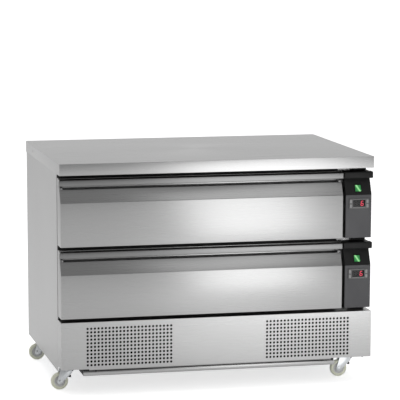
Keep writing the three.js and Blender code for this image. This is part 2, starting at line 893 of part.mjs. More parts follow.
function castorFork() {
  const crown = new THREE.CylinderGeometry(crownRadius, crownRadius, crownHeight, largeRound);
  crown.rotateX(Math.PI / 2).translate(0, 0, crownUnderside + crownHeight / 2);
  const legTop = crownUnderside + crownHeight / 2;
  const foot = wheelRadius - footDrop;
  const side = [
    [-legHalf, legTop], [-castorTrail - footHalf, wheelRadius], [-castorTrail - footHalf / 2, foot],
    [-castorTrail + footHalf / 2, foot], [-castorTrail + footHalf, wheelRadius],
    [legHalf, legTop - legHeel], [legHalf, legTop],
  ];
  const inner = wheelWidth / 2 + forkGap;
  const legs = [-1, 1].map((sign) => {
    const [from, to] = sign < 0 ? [-inner - forkWall, -inner] : [inner, inner + forkWall];
    return prism("y", side, from, to);
  });
  const axle = roller(axleRadius, -castorTrail, -inner - forkWall / 2, inner + forkWall / 2, wheelRadius);
  return join(crown, ...legs, axle);
}

// Tyre and dished hub in one, with a flat of the polygon on the floor
function castorWheel() {
  const half = wheelWidth / 2;
  const corner = wheelRadius / Math.cos(Math.PI / wheelRound);
  const bore = (axleRadius + seat) / Math.cos(Math.PI / wheelRound);
  const outline = [
    [bore, hubSetback - half], [corner - tyreDepth, -half], [corner, tyreShoulder - half],
    [corner, half - tyreShoulder], [corner - tyreDepth, half], [bore, half - hubSetback],
    [bore, hubSetback - half],
  ];
  const start = Math.PI / wheelRound;
  return new THREE.LatheGeometry(outline.map(([r, y]) => new THREE.Vector2(r, y)), wheelRound, start);
}

// Rocking lever on the side away from the wheel
function brakePedal() {
  const reach = wheelRadius + brakeGap;
  const padX = reach * Math.cos(padAngle) - castorTrail;
  const padZ = reach * Math.sin(padAngle) + wheelRadius;
  const x = pedalForward;
  const z = crownUnderside - pedalDrop;
  const outline = [
    [padX, padZ], [padX + padLength, padZ - brakeGap / 2], [x + pedalBelly, z - pedalSag],
    [x + toeReach, z + toeRise], [x + toeReach - toeThickness, z + toeRise + toeLip],
    [x + neckReach, z + neckRise],
  ];
  const half = wheelWidth / 2 + forkGap - seat;
  return prism("y", outline, -half, half);
}

function castor(place) {
  const group = new THREE.Group();
  group.position.set(place.x, place.y, 0);
  piece(group, `castor_fork_${place.name}`, "zinc", castorFork());
  const wheel = piece(group, `castor_wheel_${place.name}`, "tyre", castorWheel());
  wheel.position.set(-castorTrail, 0, wheelRadius);
  if (place.brake) piece(group, `brake_pedal_${place.name}`, "black", brakePedal());
  return group;
}

// Assembly

function drawer(name, floor, bottom, top) {
  const group = new THREE.Group();
  piece(group, `${name}_liner`, "steel", liner(floor, bottom, top));
  piece(group, `${name}_drawer_shell`, "steel", frontShell(floor));
  piece(group, `${name}_drawer_core`, "pan", frontCore(floor));
  piece(group, `${name}_gasket`, "rubber", gasket(floor));
  piece(group, `${name}_bin`, "steel", bin(floor));
  for (const side of ["left", "right"]) {
    piece(group, `${name}_slide_${side}`, "zinc", rail(floor, "middle", side));
  }
  piece(group, `${name}_evaporator`, "aluminium", evaporator(floor));
  const place = evaporatorFanPlace(floor);
  const rotor = piece(group, `${name}_evaporator_fan`, "black", fan(evaporatorFanRadius));
  rotor.position.set(place.x, place.y, place.z);
  return group;
}

function controls(name, floor, bottom, top) {
  const group = new THREE.Group();
  piece(group, `${name}_pod_housing`, "black", podHousing(floor, bottom, top));
  piece(group, `${name}_fascia`, "fascia", fascia(floor));
  piece(group, `${name}_rocker_switch`, "green", rocker(floor));
  piece(group, `${name}_controller`, "display", controller(floor));
  keyPlaces.forEach((place, i) => piece(group, `${name}_key_${i + 1}`, "key", keyCap(floor, place)));
  return group;
}

function condensingUnit(name, x0) {
  const group = new THREE.Group();
  piece(group, `${name}_condenser`, "aluminium", condenser(x0));
  const place = condenserFanPlace(x0);
  const rotor = piece(group, `${name}_condenser_fan`, "black", fan(condenserFanRadius));
  rotor.position.set(place.x, place.y, place.z);
  piece(group, `${name}_compressor`, "enamel", compressor(place.x));
  return group;
}

function cabinet() {
  const group = new THREE.Group();
  piece(group, "worktop", "steel", worktopSkin());
  piece(group, "worktop_core", "board", worktopCore());
  piece(group, "casing", "steel", casing());
  piece(group, "insulation", "foam", insulation());
  piece(group, "base_front_panel", "steel", baseFrontPanel());
  piece(group, "base_surround", "steel", baseSurround());
  piece(group, "chassis", "zinc", chassis());
  piece(group, "condensate_tray", "steel", tray());
  piece(group, "tray_runners", "darkSteel", trayRunners());
  piece(group, "cable_gland", "rubber", cableGland());
  return group;
}

const standing = new THREE.Group();
standing.add(cabinet());
standing.add(drawer("lower", lowerFloor, baseTop, upperFloor));
standing.add(drawer("upper", upperFloor, upperFloor, worktopUnderside - seat));
standing.add(controls("lower", lowerFloor, baseTop, upperFloor));
standing.add(controls("upper", upperFloor, upperFloor, worktopUnderside - seat));
standing.add(condensingUnit("left", coilSide));
standing.add(condensingUnit("right", width - coilSide - coilLength));
castorPlaces.forEach((place) => standing.add(castor(place)));

// The finished part has its origin on the floor, at the middle of its length and depth.
standing.position.set(-(width - castorOverhang) / 2, -depth / 2, 0);
const refrigerator = new THREE.Group();
refrigerator.add(standing);

export default refrigerator;
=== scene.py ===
import json
import math
import bpy
from mathutils import Euler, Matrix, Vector

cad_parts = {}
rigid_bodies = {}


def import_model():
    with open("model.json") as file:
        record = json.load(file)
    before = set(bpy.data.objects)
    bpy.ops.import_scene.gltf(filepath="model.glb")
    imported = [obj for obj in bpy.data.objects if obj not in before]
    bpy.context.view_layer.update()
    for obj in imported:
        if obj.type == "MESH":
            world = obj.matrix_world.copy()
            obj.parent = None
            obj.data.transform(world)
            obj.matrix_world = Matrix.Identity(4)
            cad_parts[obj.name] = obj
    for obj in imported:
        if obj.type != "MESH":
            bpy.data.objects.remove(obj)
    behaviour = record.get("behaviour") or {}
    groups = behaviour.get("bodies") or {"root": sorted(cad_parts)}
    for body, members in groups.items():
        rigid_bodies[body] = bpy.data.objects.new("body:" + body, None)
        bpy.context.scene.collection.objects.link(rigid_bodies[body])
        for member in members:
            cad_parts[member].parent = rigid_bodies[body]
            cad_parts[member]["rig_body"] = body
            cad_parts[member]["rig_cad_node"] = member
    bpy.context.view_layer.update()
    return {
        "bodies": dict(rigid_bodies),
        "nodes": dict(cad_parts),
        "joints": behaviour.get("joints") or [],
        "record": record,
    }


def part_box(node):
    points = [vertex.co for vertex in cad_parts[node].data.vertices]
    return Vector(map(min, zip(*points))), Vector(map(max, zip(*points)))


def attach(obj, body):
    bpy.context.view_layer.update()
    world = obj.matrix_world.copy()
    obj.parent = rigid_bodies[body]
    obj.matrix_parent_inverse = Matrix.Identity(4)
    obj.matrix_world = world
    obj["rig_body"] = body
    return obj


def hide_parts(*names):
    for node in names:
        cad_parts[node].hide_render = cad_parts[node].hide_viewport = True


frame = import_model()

nodes = frame["nodes"]
mm = 0.001

# Camera, fitted to the corners of the worktop and of the base in the photograph
cameraView = {
    "place": (-1.799, -7.781, 1.742),
    "yaw": 12.36,          # degrees to the right of +Y
    "pitch": 9.60,         # degrees down
    "focalPixels": 2106,   # for a frame 400 pixels wide
    "axisPixel": (168.0, 267.0),
    "frame": 400,
    "sensor": 36,          # millimetres
    "farEnd": 200,
}

def placeCamera(view):
    bpy.ops.object.camera_add(location=view["place"])
    camera = bpy.context.object
    camera.rotation_euler = Euler((math.radians(90 - view["pitch"]), 0, math.radians(-view["yaw"])))
    camera.data.sensor_width = view["sensor"]
    camera.data.lens = view["sensor"] * view["focalPixels"] / view["frame"]
    camera.data.shift_x = 0.5 - view["axisPixel"][0] / view["frame"]
    camera.data.shift_y = view["axisPixel"][1] / view["frame"] - 0.5
    camera.data.clip_end = view["farEnd"]
    bpy.context.scene.camera = camera
    bpy.context.scene.view_settings.view_transform = "Standard"
    print("camera placed")


placeCamera(cameraView)

# Picking, shaping and finishing


def enterEdit():
    bpy.ops.object.mode_set(mode="EDIT")


def leaveEdit():
    bpy.ops.object.mode_set(mode="OBJECT")


def deselect():
    if bpy.context.mode != "OBJECT":
        leaveEdit()
    bpy.ops.object.select_all(action="DESELECT")


def activate(*pieces):
    deselect()
    for piece in pieces:
        piece.select_set(True)
    bpy.context.view_layer.objects.active = pieces[0]
    return pieces[0]


# Into edit mode, with those of the "vertices", "edges" or "polygons" selected that pass a test
def edit(piece, kind, test):
    activate(piece)
    kinds = ("vertices", "edges", "polygons")
    for each in kinds:
        for part in getattr(piece.data, each):
            part.select = each == kind and bool(test(part))
    bpy.context.tool_settings.mesh_select_mode = [each == kind for each in kinds]
    enterEdit()


def editEdges(piece, test):
    edit(piece, "edges", lambda edge: test(*[piece.data.vertices[i].co for i in edge.vertices]))


def editAll(piece):
    activate(piece)
    enterEdit()
    bpy.ops.mesh.select_all(action="SELECT")


def settle(piece):
    activate(piece)
    bpy.ops.object.transform_apply(location=True, rotation=True, scale=True)
    return piece


def modify(piece, kind, **settings):
    activate(piece)
    modifier = piece.modifiers.new(kind.lower(), kind)
    for key, value in settings.items():
        setattr(modifier, key, value)
    bpy.ops.object.modifier_apply(modifier=modifier.name)
    return piece


def soften(piece, width, segments=2, angle=30):
    modify(piece, "BEVEL", width=width * mm, segments=segments, limit_method="ANGLE",
           angle_limit=math.radians(angle), harden_normals=False, miter_outer="MITER_ARC")
    return smooth(piece)


def smooth(piece, angle=35):
    activate(piece)
    bpy.ops.object.shade_smooth_by_angle(angle=math.radians(angle))
    return piece


def bar(name, x, y, z):
    low, high = (Vector([ends[i] * mm for ends in (x, y, z)]) for i in (0, 1))
    bpy.ops.mesh.primitive_cube_add(size=1, location=(low + high) / 2)
    piece = bpy.context.object
    piece.name = name
    piece.scale = high - low
    return settle(piece)


def pin(name, centre, radius, depth, axis="y", sides=24):
    turns = {"x": (0, math.pi / 2, 0), "y": (-math.pi / 2, 0, 0), "z": (0, 0, 0)}
    bpy.ops.mesh.primitive_cylinder_add(
        vertices=sides, radius=radius * mm, depth=depth * mm, location=Vector(centre) * mm,
        rotation=turns[axis])
    bpy.context.object.name = name
    return settle(bpy.context.object)


def together(name, *pieces):
    activate(*pieces)
    if len(pieces) > 1:
        bpy.ops.object.join()
    bpy.context.object.name = name
    return bpy.context.object


def twin(piece, name, offset):
    activate(piece)
    copy = piece.copy()
    copy.data = piece.data.copy()
    copy.name = name
    bpy.context.scene.collection.objects.link(copy)
    copy.location = offset
    return settle(copy)


def finish(piece, body, slot, material, *replaced):
    piece.data.materials.clear()
    piece.data.materials.append(material)
    if replaced:
        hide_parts(*replaced)
    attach(piece, body)
    return piece


nodeCleaning = {"merge": 0.02, "flat": 0.5}    # millimetres and degrees


# A CAD node as clean faces, to be softened along its folds
def fromNode(name, label):
    node = nodes[name]
    copy = node.copy()
    copy.data = node.data.copy()
    copy.name = label
    copy.parent = None
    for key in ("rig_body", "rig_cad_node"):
        if key in copy:
            del copy[key]
    bpy.context.scene.collection.objects.link(copy)
    editAll(copy)
    bpy.ops.mesh.remove_doubles(threshold=nodeCleaning["merge"] * mm)
    bpy.ops.mesh.dissolve_limited(angle_limit=math.radians(nodeCleaning["flat"]))
    leaveEdit()
    return copy


# Shader node groups, and the materials that use them
socketKinds = {0: "NodeSocketFloat", 3: "NodeSocketVector", 4: "NodeSocketColor"}    # by the default's length
skinOutputs = {"Colour": (0, 0, 0, 1), "Roughness": 0, "Height": 0}
mixSockets = {"factor": 0, "first": 6, "second": 7, "result": 2}     # of a Mix node that mixes colours


def grey(value):
    return (value, value, value, 1)


def newGroup(name, inputs, outputs):
    tree = bpy.data.node_groups.new(name, "ShaderNodeTree")
    for way, sockets in (("INPUT", inputs), ("OUTPUT", outputs)):
        for label, value in sockets.items():
            kind = socketKinds[len(value) if isinstance(value, tuple) else 0]
            tree.interface.new_socket(name=label, in_out=way, socket_type=kind).default_value = value
    return tree, tree.nodes.new("NodeGroupInput"), tree.nodes.new("NodeGroupOutput")


def addNode(tree, kind, **settings):
    node = tree.nodes.new(kind)
    for key, value in settings.items():
        setattr(node, key, value)
    return node


# What goes into a socket is a plain value, or a node with the name or number of its output
def feed(tree, node, socket, entry):
    if isinstance(entry, tuple) and isinstance(entry[0], bpy.types.Node):
        tree.links.new(entry[0].outputs[entry[1]], node.inputs[socket])
    else:
        node.inputs[socket].default_value = entry


def reckon(tree, operation, *entries):
    node = addNode(tree, "ShaderNodeMath", operation=operation)
    for i, entry in enumerate(entries):
        feed(tree, node, i, entry)
    return node, "Value"


def mixColours(tree, *entries):
    node = addNode(tree, "ShaderNodeMix", data_type="RGBA")
    for label, entry in zip(("factor", "first", "second"), entries):
        feed(tree, node, mixSockets[label], entry)
    return node, mixSockets["result"]


def remap(tree, source, fromLow=0, fromHigh=1, low=0, high=1, curve="LINEAR"):
    node = addNode(tree, "ShaderNodeMapRange", interpolation_type=curve)
    sockets = ("Value", "From Min", "From Max", "To Min", "To Max")
    for socket, entry in zip(sockets, (source, fromLow, fromHigh, low, high)):
        feed(tree, node, socket, entry)
    return node, "Result"


def noiseAt(tree, place, scale, detail):
    node = addNode(tree, "ShaderNodeTexNoise")
    for socket, entry in (("Vector", place), ("Scale", scale), ("Detail", detail)):
        feed(tree, node, socket, entry)
    return node, "Fac"


def separate(tree, place):
    node = addNode(tree, "ShaderNodeSeparateXYZ")
    feed(tree, node, "Vector", place)
    return node


# Brushed sheet: long fine scratches, broad cloudy patches and a faint mottling of the gloss
brushing = {"lineDetail": 4, "cloudScale": 2.6, "cloudDetail": 2, "glossChange": 0.06, "bumpDepth": 0.05}


def buildGrain():
    tree, entry, exit = newGroup("brushedGrain", {
        "Vector": (0, 0, 0), "Colour": grey(0.6), "Stretch": (3, 700, 700), "Streaks": 0.06, "Clouds": 0.05,
        "Roughness": 0.3}, skinOutputs)
    stretched = addNode(tree, "ShaderNodeVectorMath", operation="MULTIPLY")
    feed(tree, stretched, 0, (entry, "Vector"))
    feed(tree, stretched, 1, (entry, "Stretch"))
    lines = noiseAt(tree, (stretched, "Vector"), 1, brushing["lineDetail"])
    clouds = noiseAt(tree, (entry, "Vector"), brushing["cloudScale"], brushing["cloudDetail"])
    centredLines = reckon(tree, "SUBTRACT", lines, 0.5)
    centredClouds = reckon(tree, "SUBTRACT", clouds, 0.5)
    lineShade = reckon(tree, "MULTIPLY_ADD", centredLines, (entry, "Streaks"), 1)
    shade = reckon(tree, "MULTIPLY_ADD", centredClouds, (entry, "Clouds"), lineShade)
    tint = addNode(tree, "ShaderNodeVectorMath", operation="SCALE")
    feed(tree, tint, 0, (entry, "Colour"))
    feed(tree, tint, "Scale", shade)
    rough = reckon(tree, "MULTIPLY_ADD", centredLines, brushing["glossChange"], (entry, "Roughness"))
    feed(tree, exit, "Colour", (tint, "Vector"))
    feed(tree, exit, "Roughness", rough)
    feed(tree, exit, "Height", lines)
    return tree


# Moulded or painted surface: fine pebbling, a slow change of tone and dulled patches from handling
pebbling = {"detail": 2, "patchScale": 14, "patchDetail": 4, "patchRange": (0.42, 0.75), "wornGloss": 0.5,
            "bumpDepth": 0.2}


def buildPebble():
    tree, entry, exit = newGroup("mouldedSkin", {
        "Vector": (0, 0, 0), "Colour": grey(0.1), "Worn": grey(0.2), "Pebbles": 900, "Wear": 0.15,
        "Roughness": 0.5}, skinOutputs)
    pebbles = noiseAt(tree, (entry, "Vector"), (entry, "Pebbles"), pebbling["detail"])
    patches = noiseAt(tree, (entry, "Vector"), pebbling["patchScale"], pebbling["patchDetail"])
    amount = reckon(tree, "MULTIPLY", remap(tree, patches, *pebbling["patchRange"]), (entry, "Wear"))
    rough = reckon(tree, "MULTIPLY_ADD", amount, pebbling["wornGloss"], (entry, "Roughness"))
    feed(tree, exit, "Colour", mixColours(tree, amount, (entry, "Colour"), (entry, "Worn")))
    feed(tree, exit, "Roughness", rough)
    feed(tree, exit, "Height", pebbles)
    return tree


# Dust and splashes that gather towards the floor, as a mask from 0 to 1
dirt = {"scale": 60, "detail": 5, "range": (0.35, 0.65), "least": 0.2, "colour": (0.16, 0.15, 0.13, 1)}


def buildGrime():
    tree, entry, exit = newGroup(
        "floorGrime", {"Vector": (0, 0, 0), "Top": 0.12, "Strength": 0.3}, {"Mask": 0})
    level = remap(tree, (separate(tree, (entry, "Vector")), "Z"), (entry, "Top"), 0)
    spots = noiseAt(tree, (entry, "Vector"), dirt["scale"], dirt["detail"])
    patchy = remap(tree, spots, *dirt["range"], dirt["least"], 1)
    both = reckon(tree, "MULTIPLY", level, patchy)
    feed(tree, exit, "Mask", reckon(tree, "MULTIPLY", both, (entry, "Strength")))
    return tree


grainGroup = buildGrain()
pebbleGroup = buildPebble()
grimeGroup = buildGrime()


def startMaterial(name):
    material = bpy.data.materials.new(name)
    material.use_nodes = True
    tree = material.node_tree
    shader = tree.nodes["Principled BSDF"]
    coordinates = addNode(tree, "ShaderNodeTexCoord")
    return material, tree, shader, coordinates


def placeGroup(tree, group, coordinates, **values):
    node = addNode(tree, "ShaderNodeGroup", node_tree=group)
    for key, value in values.items():
        node.inputs[key].default_value = value
    feed(tree, node, "Vector", (coordinates, "Object"))
    return node


# Colour, gloss and fine relief from a group's node into the shader
def dress(tree, shader, skin, strength, depth):
    bump = addNode(tree, "ShaderNodeBump")
    bump.inputs["Strength"].default_value = strength
    bump.inputs["Distance"].default_value = depth * mm
    feed(tree, bump, "Height", (skin, "Height"))
    feed(tree, shader, "Normal", (bump, "Normal"))
    feed(tree, shader, "Roughness", (skin, "Roughness"))
    feed(tree, shader, "Base Color", (skin, "Colour"))


def steel(name, colour, roughness, stretch, streaks=0.03, clouds=0.06, grime=0.0, bump=0.02, brushed=0.0):
    material, tree, shader, coordinates = startMaterial(name)
    shader.inputs["Metallic"].default_value = 1.0
    shader.inputs["Anisotropic"].default_value = brushed
    grain = placeGroup(tree, grainGroup, coordinates, Colour=colour, Stretch=stretch,
                       Streaks=streaks, Clouds=clouds, Roughness=roughness)
    dress(tree, shader, grain, bump, brushing["bumpDepth"])
    if grime:
        splashes = placeGroup(tree, grimeGroup, coordinates, Strength=grime)
        dirty = mixColours(tree, (splashes, "Mask"), (grain, "Colour"), dirt["colour"])
        feed(tree, shader, "Base Color", dirty)
    return material


def moulded(name, colour, worn, roughness, size=900, wear=0.15, metallic=0.0, bump=0.12, coat=0.0, shine=0.5):
    material, tree, shader, coordinates = startMaterial(name)
    shader.inputs["Metallic"].default_value = metallic
    shader.inputs["Coat Weight"].default_value = coat
    shader.inputs["Specular IOR Level"].default_value = shine
    skin = placeGroup(tree, pebbleGroup, coordinates, Colour=colour, Worn=worn, Pebbles=size,
                      Wear=wear, Roughness=roughness)
    dress(tree, shader, skin, bump, pebbling["bumpDepth"])
    return material


alongX = (2.5, 900, 900)
alongY = (900, 2.5, 900)
alongZ = (900, 900, 2.5)

finishes = {
    "worktopSteel": steel("worktopSteel", grey(0.425), 0.28, alongX, brushed=0.5),
    "sideSteel": steel("sideSteel", grey(0.39), 0.36, alongZ, clouds=0.08),
    "baseSteel": steel("baseSteel", grey(0.39), 0.28, alongX, brushed=0.7),
    "drawerSteel": steel("drawerSteel", grey(0.35), 0.28, alongX, 0.035, brushed=0.5),
    # The lip's steel is the drawer's steel made darker: painted shade
    "shadedLipSteel": steel("shadedLipSteel", grey(0.195), 0.3, alongX, brushed=0.4),
    "linerSteel": steel("linerSteel", grey(0.62), 0.24, alongY),
    "binSteel": steel("binSteel", grey(0.6), 0.26, alongX, 0.04),
    "zinc": steel("zincPlate", (0.62, 0.64, 0.66, 1), 0.3, (60, 60, 60), 0.25, 0.2, 0.25, 0.1),
    "aluminium": steel("finAluminium", grey(0.66), 0.4, alongZ, 0.1, 0.1),
    "copper": steel("copperPipe", (0.72, 0.36, 0.22, 1), 0.3, (80, 80, 80), 0.2, 0.3),
    # Black condenser coating, and also painted shade for the base's dark inside
    "coatedFinAndShade": moulded("coatedFinAndShade", grey(0.008), grey(0.02), 0.6, 600, 0.3, shine=0.2),
    # Dark painted steel; on the tray runners its black is painted shade
    "darkSteel": moulded("darkSteel", grey(0.03), grey(0.09), 0.5, 500, 0.3, 0.3),
    "pan": moulded("innerPan", grey(0.78), grey(0.7), 0.3, 300, 0.2, bump=0.05),
    "foam": moulded("foam", (0.78, 0.68, 0.42, 1), (0.6, 0.5, 0.3, 1), 0.9, 250, 0.5, bump=0.6),
    "board": moulded("board", (0.035, 0.032, 0.03, 1), (0.06, 0.055, 0.05, 1), 0.8, 300, 0.5, bump=0.4),
    "gasket": moulded("gasketRubber", grey(0.3), grey(0.24), 0.6, 700, 0.25),
    # Black rubber; on the strips between the drawer fronts it is painted shade
    "rubber": moulded("blackRubberAndShade", grey(0.02), grey(0.05), 0.6, 700, 0.25, shine=0.25),
    # Near-black mats behind the grille: painted shade for the base's dark inside
    "shadeMat": moulded("shadeMatBlack", grey(0.006), grey(0.01), 0.85, 500, 0.2, shine=0.05),
    "pod": moulded("podPlastic", grey(0.011), grey(0.02), 0.42, 1100, 0.2, shine=0.14),
    "fascia": moulded("fasciaFilm", (0.049, 0.049, 0.053, 1), (0.06, 0.06, 0.065, 1), 0.45, 1500, 0.2),
    "fan": moulded("fanPlastic", grey(0.02), grey(0.06), 0.45, 900, 0.3),
    "enamel": moulded("compressorEnamel", grey(0.015), grey(0.05), 0.3, 200, 0.3, coat=0.3),
    "bezel": moulded("bezelPlastic", grey(0.085), grey(0.1), 0.4, 1500, 0.2),
    "key": moulded("keyPlastic", grey(0.27), grey(0.22), 0.45, 1200, 0.3),
    "mark": moulded("markPrint", grey(0.17), grey(0.14), 0.5, 1200, 0.3),
    # Tyre and hub are lighter than their own colour: painted light, for the floor's bounce under the cabinet
    "tyre": moulded("castorTyre", (0.84, 0.85, 0.7, 1), (0.68, 0.69, 0.56, 1), 0.5, 500, 0.35),
    "hub": moulded("castorHub", grey(0.68), grey(0.55), 0.45, 500, 0.35),
    "displayGlass": moulded("displayGlass", grey(0.008), grey(0.012), 0.15, 2000, 0.1, bump=0.01, shine=0.2),
    "green": moulded("switchGreen", (0.03, 0.42, 0.1, 1), (0.05, 0.5, 0.15, 1), 0.25, 900, 0.1),
    "deadSegment": moulded("deadSegment", grey(0.03), grey(0.04), 0.4, 2000, 0.2, shine=0.2),
}


# A lit part: its plastic and the light that it gives, with a painted highlight as a brighter slanting band of
# that light
litSkinAndHighlight = {"wear": 0.1, "roughness": 0.25, "half": 6.5}


def litPlastic(name, colour, glow, core, centre, slant, strength):
    material, tree, shader, coordinates = startMaterial(name)
    skin = placeGroup(tree, pebbleGroup, coordinates, Colour=colour, Worn=colour, Wear=litSkinAndHighlight["wear"],
                      Roughness=litSkinAndHighlight["roughness"])
    feed(tree, shader, "Base Color", (skin, "Colour"))
    feed(tree, shader, "Roughness", (skin, "Roughness"))
    centred = addNode(tree, "ShaderNodeMapping")
    centred.inputs["Location"].default_value = [-value * mm for value in centre]
    feed(tree, centred, "Vector", (coordinates, "Object"))
    axes = separate(tree, (centred, "Vector"))
    across = reckon(tree, "MULTIPLY_ADD", (axes, "Z"), slant, (axes, "X"))
    away = reckon(tree, "ABSOLUTE", across)
    highlightRamp = remap(tree, away, litSkinAndHighlight["half"] * mm, 0, curve="SMOOTHSTEP")
    # The core colour along the slanting band is a painted highlight
    feed(tree, shader, "Emission Color", mixColours(tree, highlightRamp, glow, core))
    shader.inputs["Emission Strength"].default_value = strength
    return material


print("materials ready:", len(finishes))

# Stage: pale floor, a soft overhead light, two panels in front on the right and an even studio around it
stage = {
    "floorSize": 160, "floorColour": (0.9, 0.9, 0.9, 1), "floorRoughness": 0.9, "floorShine": 0.1,
    "floorGlow": {"Is Camera Ray": 0.6, "Is Glossy Ray": 0.32, "Is Transmission Ray": 0.38},
    "floorSpot": {"ray": "Is Glossy Ray", "centre": (0.28, -1.3, 0), "radii": (0.55, 0.85, 1), "full": 0.6,
                  "gain": 2.1},
    "worldLevel": 0.76, "frontLevel": 0.36, "frontFrom": (0.1, -0.6),
    "lamps": {
        "overhead": {"place": (0.2, 0.6, 4.2), "size": (5, 3.5), "power": 40, "aim": (0, 0, 0), "lean": 0},
        "rightPanel": {"place": (0.68, -1.85, 0.48), "size": (1.02, 1.08), "power": 7.1,
                       "aim": (0.5, -0.4, 0.48), "lean": 11},
        "highPanel": {"place": (1.15, -2.6, 2.6), "size": (2.2, 1.0), "power": 7,
                      "aim": (0.25, -0.4, 0.6), "lean": 0},
    },
}


def addLight(name, place, size, power, aim, lean):
    bpy.ops.object.light_add(type="AREA", location=place)
    lamp = bpy.context.object
    lamp.name = name
    lamp.data.shape = "RECTANGLE"
    lamp.data.size, lamp.data.size_y = size
    lamp.data.energy = power
    lamp.rotation_euler = (Vector(aim) - Vector(place)).to_track_quat("-Z", "Y").to_euler()
    lamp.rotation_euler.rotate_axis("Z", math.radians(lean))
    lamp.visible_camera = False
    return lamp


# The strength of the floor's glow: higher round one place in front, as under a low lamp
def floorSpot(tree, coordinates, strength, spot):
    ellipse = addNode(tree, "ShaderNodeMapping", vector_type="TEXTURE")
    ellipse.inputs["Location"].default_value = spot["centre"]
    ellipse.inputs["Scale"].default_value = spot["radii"]
    feed(tree, ellipse, "Vector", (coordinates, "Object"))
    fall = addNode(tree, "ShaderNodeTexGradient", gradient_type="SPHERICAL")
    feed(tree, fall, "Vector", (ellipse, "Vector"))
    return remap(tree, (fall, "Fac"), 0, spot["full"], strength, strength * spot["gain"], "SMOOTHSTEP")


def buildStage(settings):
    bpy.ops.mesh.primitive_plane_add(size=settings["floorSize"])
    floor = bpy.context.object
    floor.name = "studioFloor"
    material, tree, shader, coordinates = startMaterial("floorPaint")
    shader.inputs["Base Color"].default_value = settings["floorColour"]
    shader.inputs["Roughness"].default_value = settings["floorRoughness"]
    shader.inputs["Specular IOR Level"].default_value = settings["floorShine"]
    shader.inputs["Emission Color"].default_value = grey(1)
    rays = addNode(tree, "ShaderNodeLightPath")
    glow = None
    for ray, strength in settings["floorGlow"].items():
        if ray == settings["floorSpot"]["ray"]:
            strength = floorSpot(tree, coordinates, strength, settings["floorSpot"])
        share = reckon(tree, "MULTIPLY", (rays, ray), strength)
        glow = reckon(tree, "MAXIMUM", glow, share) if glow else share
    feed(tree, shader, "Emission Strength", glow)
    floor.data.materials.append(material)
    for name, lamp in settings["lamps"].items():
        addLight(name, **lamp)
    buildWorld(settings)
    print("stage ready")


# The studio is darker in front of the object, as a room behind the lights is.
def buildWorld(settings):
    world = bpy.data.worlds.new("studio")
    bpy.context.scene.world = world
    world.use_nodes = True
    tree = world.node_tree
    sky = tree.nodes["Background"]
    axes = separate(tree, (addNode(tree, "ShaderNodeTexCoord"), "Generated"))
    front = remap(tree, (axes, "Y"), *settings["frontFrom"], curve="SMOOTHSTEP")
    level = remap(tree, front, low=settings["worldLevel"], high=settings["frontLevel"])
    feed(tree, sky, "Strength", level)
    sky.inputs["Color"].default_value = grey(1)


buildStage(stage)


# Drawing with operators


def metres(points):
    return [Vector(point) * mm for point in points]


# A line drawn vertex by vertex, in millimetres, left in edit mode with all of it selected
def drawLine(name, points, closed=False):
    deselect()
    bpy.ops.mesh.primitive_plane_add(size=1)
    piece = bpy.context.object
    piece.name = name
    path = metres(points)
    enterEdit()
    bpy.context.tool_settings.mesh_select_mode = (True, False, False)
    bpy.ops.mesh.select_all(action="SELECT")
    bpy.ops.mesh.merge(type="CENTER")
    bpy.ops.transform.translate(value=path[0])
    for last, point in zip(path, path[1:]):
        bpy.ops.mesh.extrude_region_move(TRANSFORM_OT_translate={"value": point - last})
    bpy.ops.mesh.select_all(action="SELECT")
    if closed:
        bpy.ops.mesh.edge_face_add()
    return piece


def sweepBy(piece, offset):
    bpy.ops.mesh.extrude_region_move(TRANSFORM_OT_translate={"value": Vector(offset) * mm})
    bpy.ops.mesh.select_all(action="SELECT")
    bpy.ops.mesh.normals_make_consistent(inside=False)
    leaveEdit()
    return piece


def drawSolid(name, points, offset):
    return sweepBy(drawLine(name, points, closed=True), offset)


def bend(piece, radius, test, segments=3):
    editEdges(piece, lambda a, b: test(a / mm, b / mm))
    bpy.ops.mesh.bevel(offset=radius * mm, segments=segments, affect="EDGES")
    leaveEdit()
    return piece


# A test for faces that look along one of the signed axes, such as "+z"
def facing(*sides):
    signs = {"+": 1, "-": -1}
    squareOn = 0.9
    return lambda face: any(signs[side[0]] * face.normal["xyz".index(side[1])] > squareOn for side in sides)


def removeFaces(piece, test):
    edit(piece, "polygons", test)
    bpy.ops.mesh.delete(type="FACE")
    leaveEdit()
    return piece


def thicken(piece, thickness):
    return modify(piece, "SOLIDIFY", thickness=thickness * mm, offset=-1, use_even_offset=True)


def repeat(piece, count, offset, **settings):
    return modify(piece, "ARRAY", count=count, use_relative_offset=False, use_constant_offset=True,
                  constant_offset_displace=offset, **settings)


# Every fold sharper than an angle, rounded
def roundFolds(piece, radius, segments=4, angle=30):
    return modify(piece, "BEVEL", width=radius * mm, segments=segments, limit_method="ANGLE",
                  angle_limit=math.radians(angle))


# The edges that run along one axis, rounded
def roundCorners(piece, radius, axis, segments=4, test=None):
    others = [i for i in range(3) if i != "xyz".index(axis)]

    def runsAlong(a, b):
        straight = all(abs(a[i] - b[i]) < 0.01 for i in others)
        return straight and (test is None or test(a, b))

    return bend(piece, radius, runsAlong, segments)


# A bar whose corners round along one axis, with softened edges
def pad(name, x, y, z, corner, axis, edge=0.5):
    piece = bar(name, x, y, z)
    roundCorners(piece, corner, axis)
    return soften(piece, edge, 2, 40)


# Leans a piece back about the X axis and puts it in its place
def leanInto(piece, place, degrees):
    piece.rotation_euler = (-math.radians(degrees), 0, 0)
    piece.location = Vector(place) * mm
    return settle(piece)


def span(centre, half):
    return (centre - half, centre + half)


def shifted(origin, offsets):
    return [origin + offset for offset in offsets]


def discard(*pieces):
    for piece in pieces:
        bpy.data.objects.remove(piece)


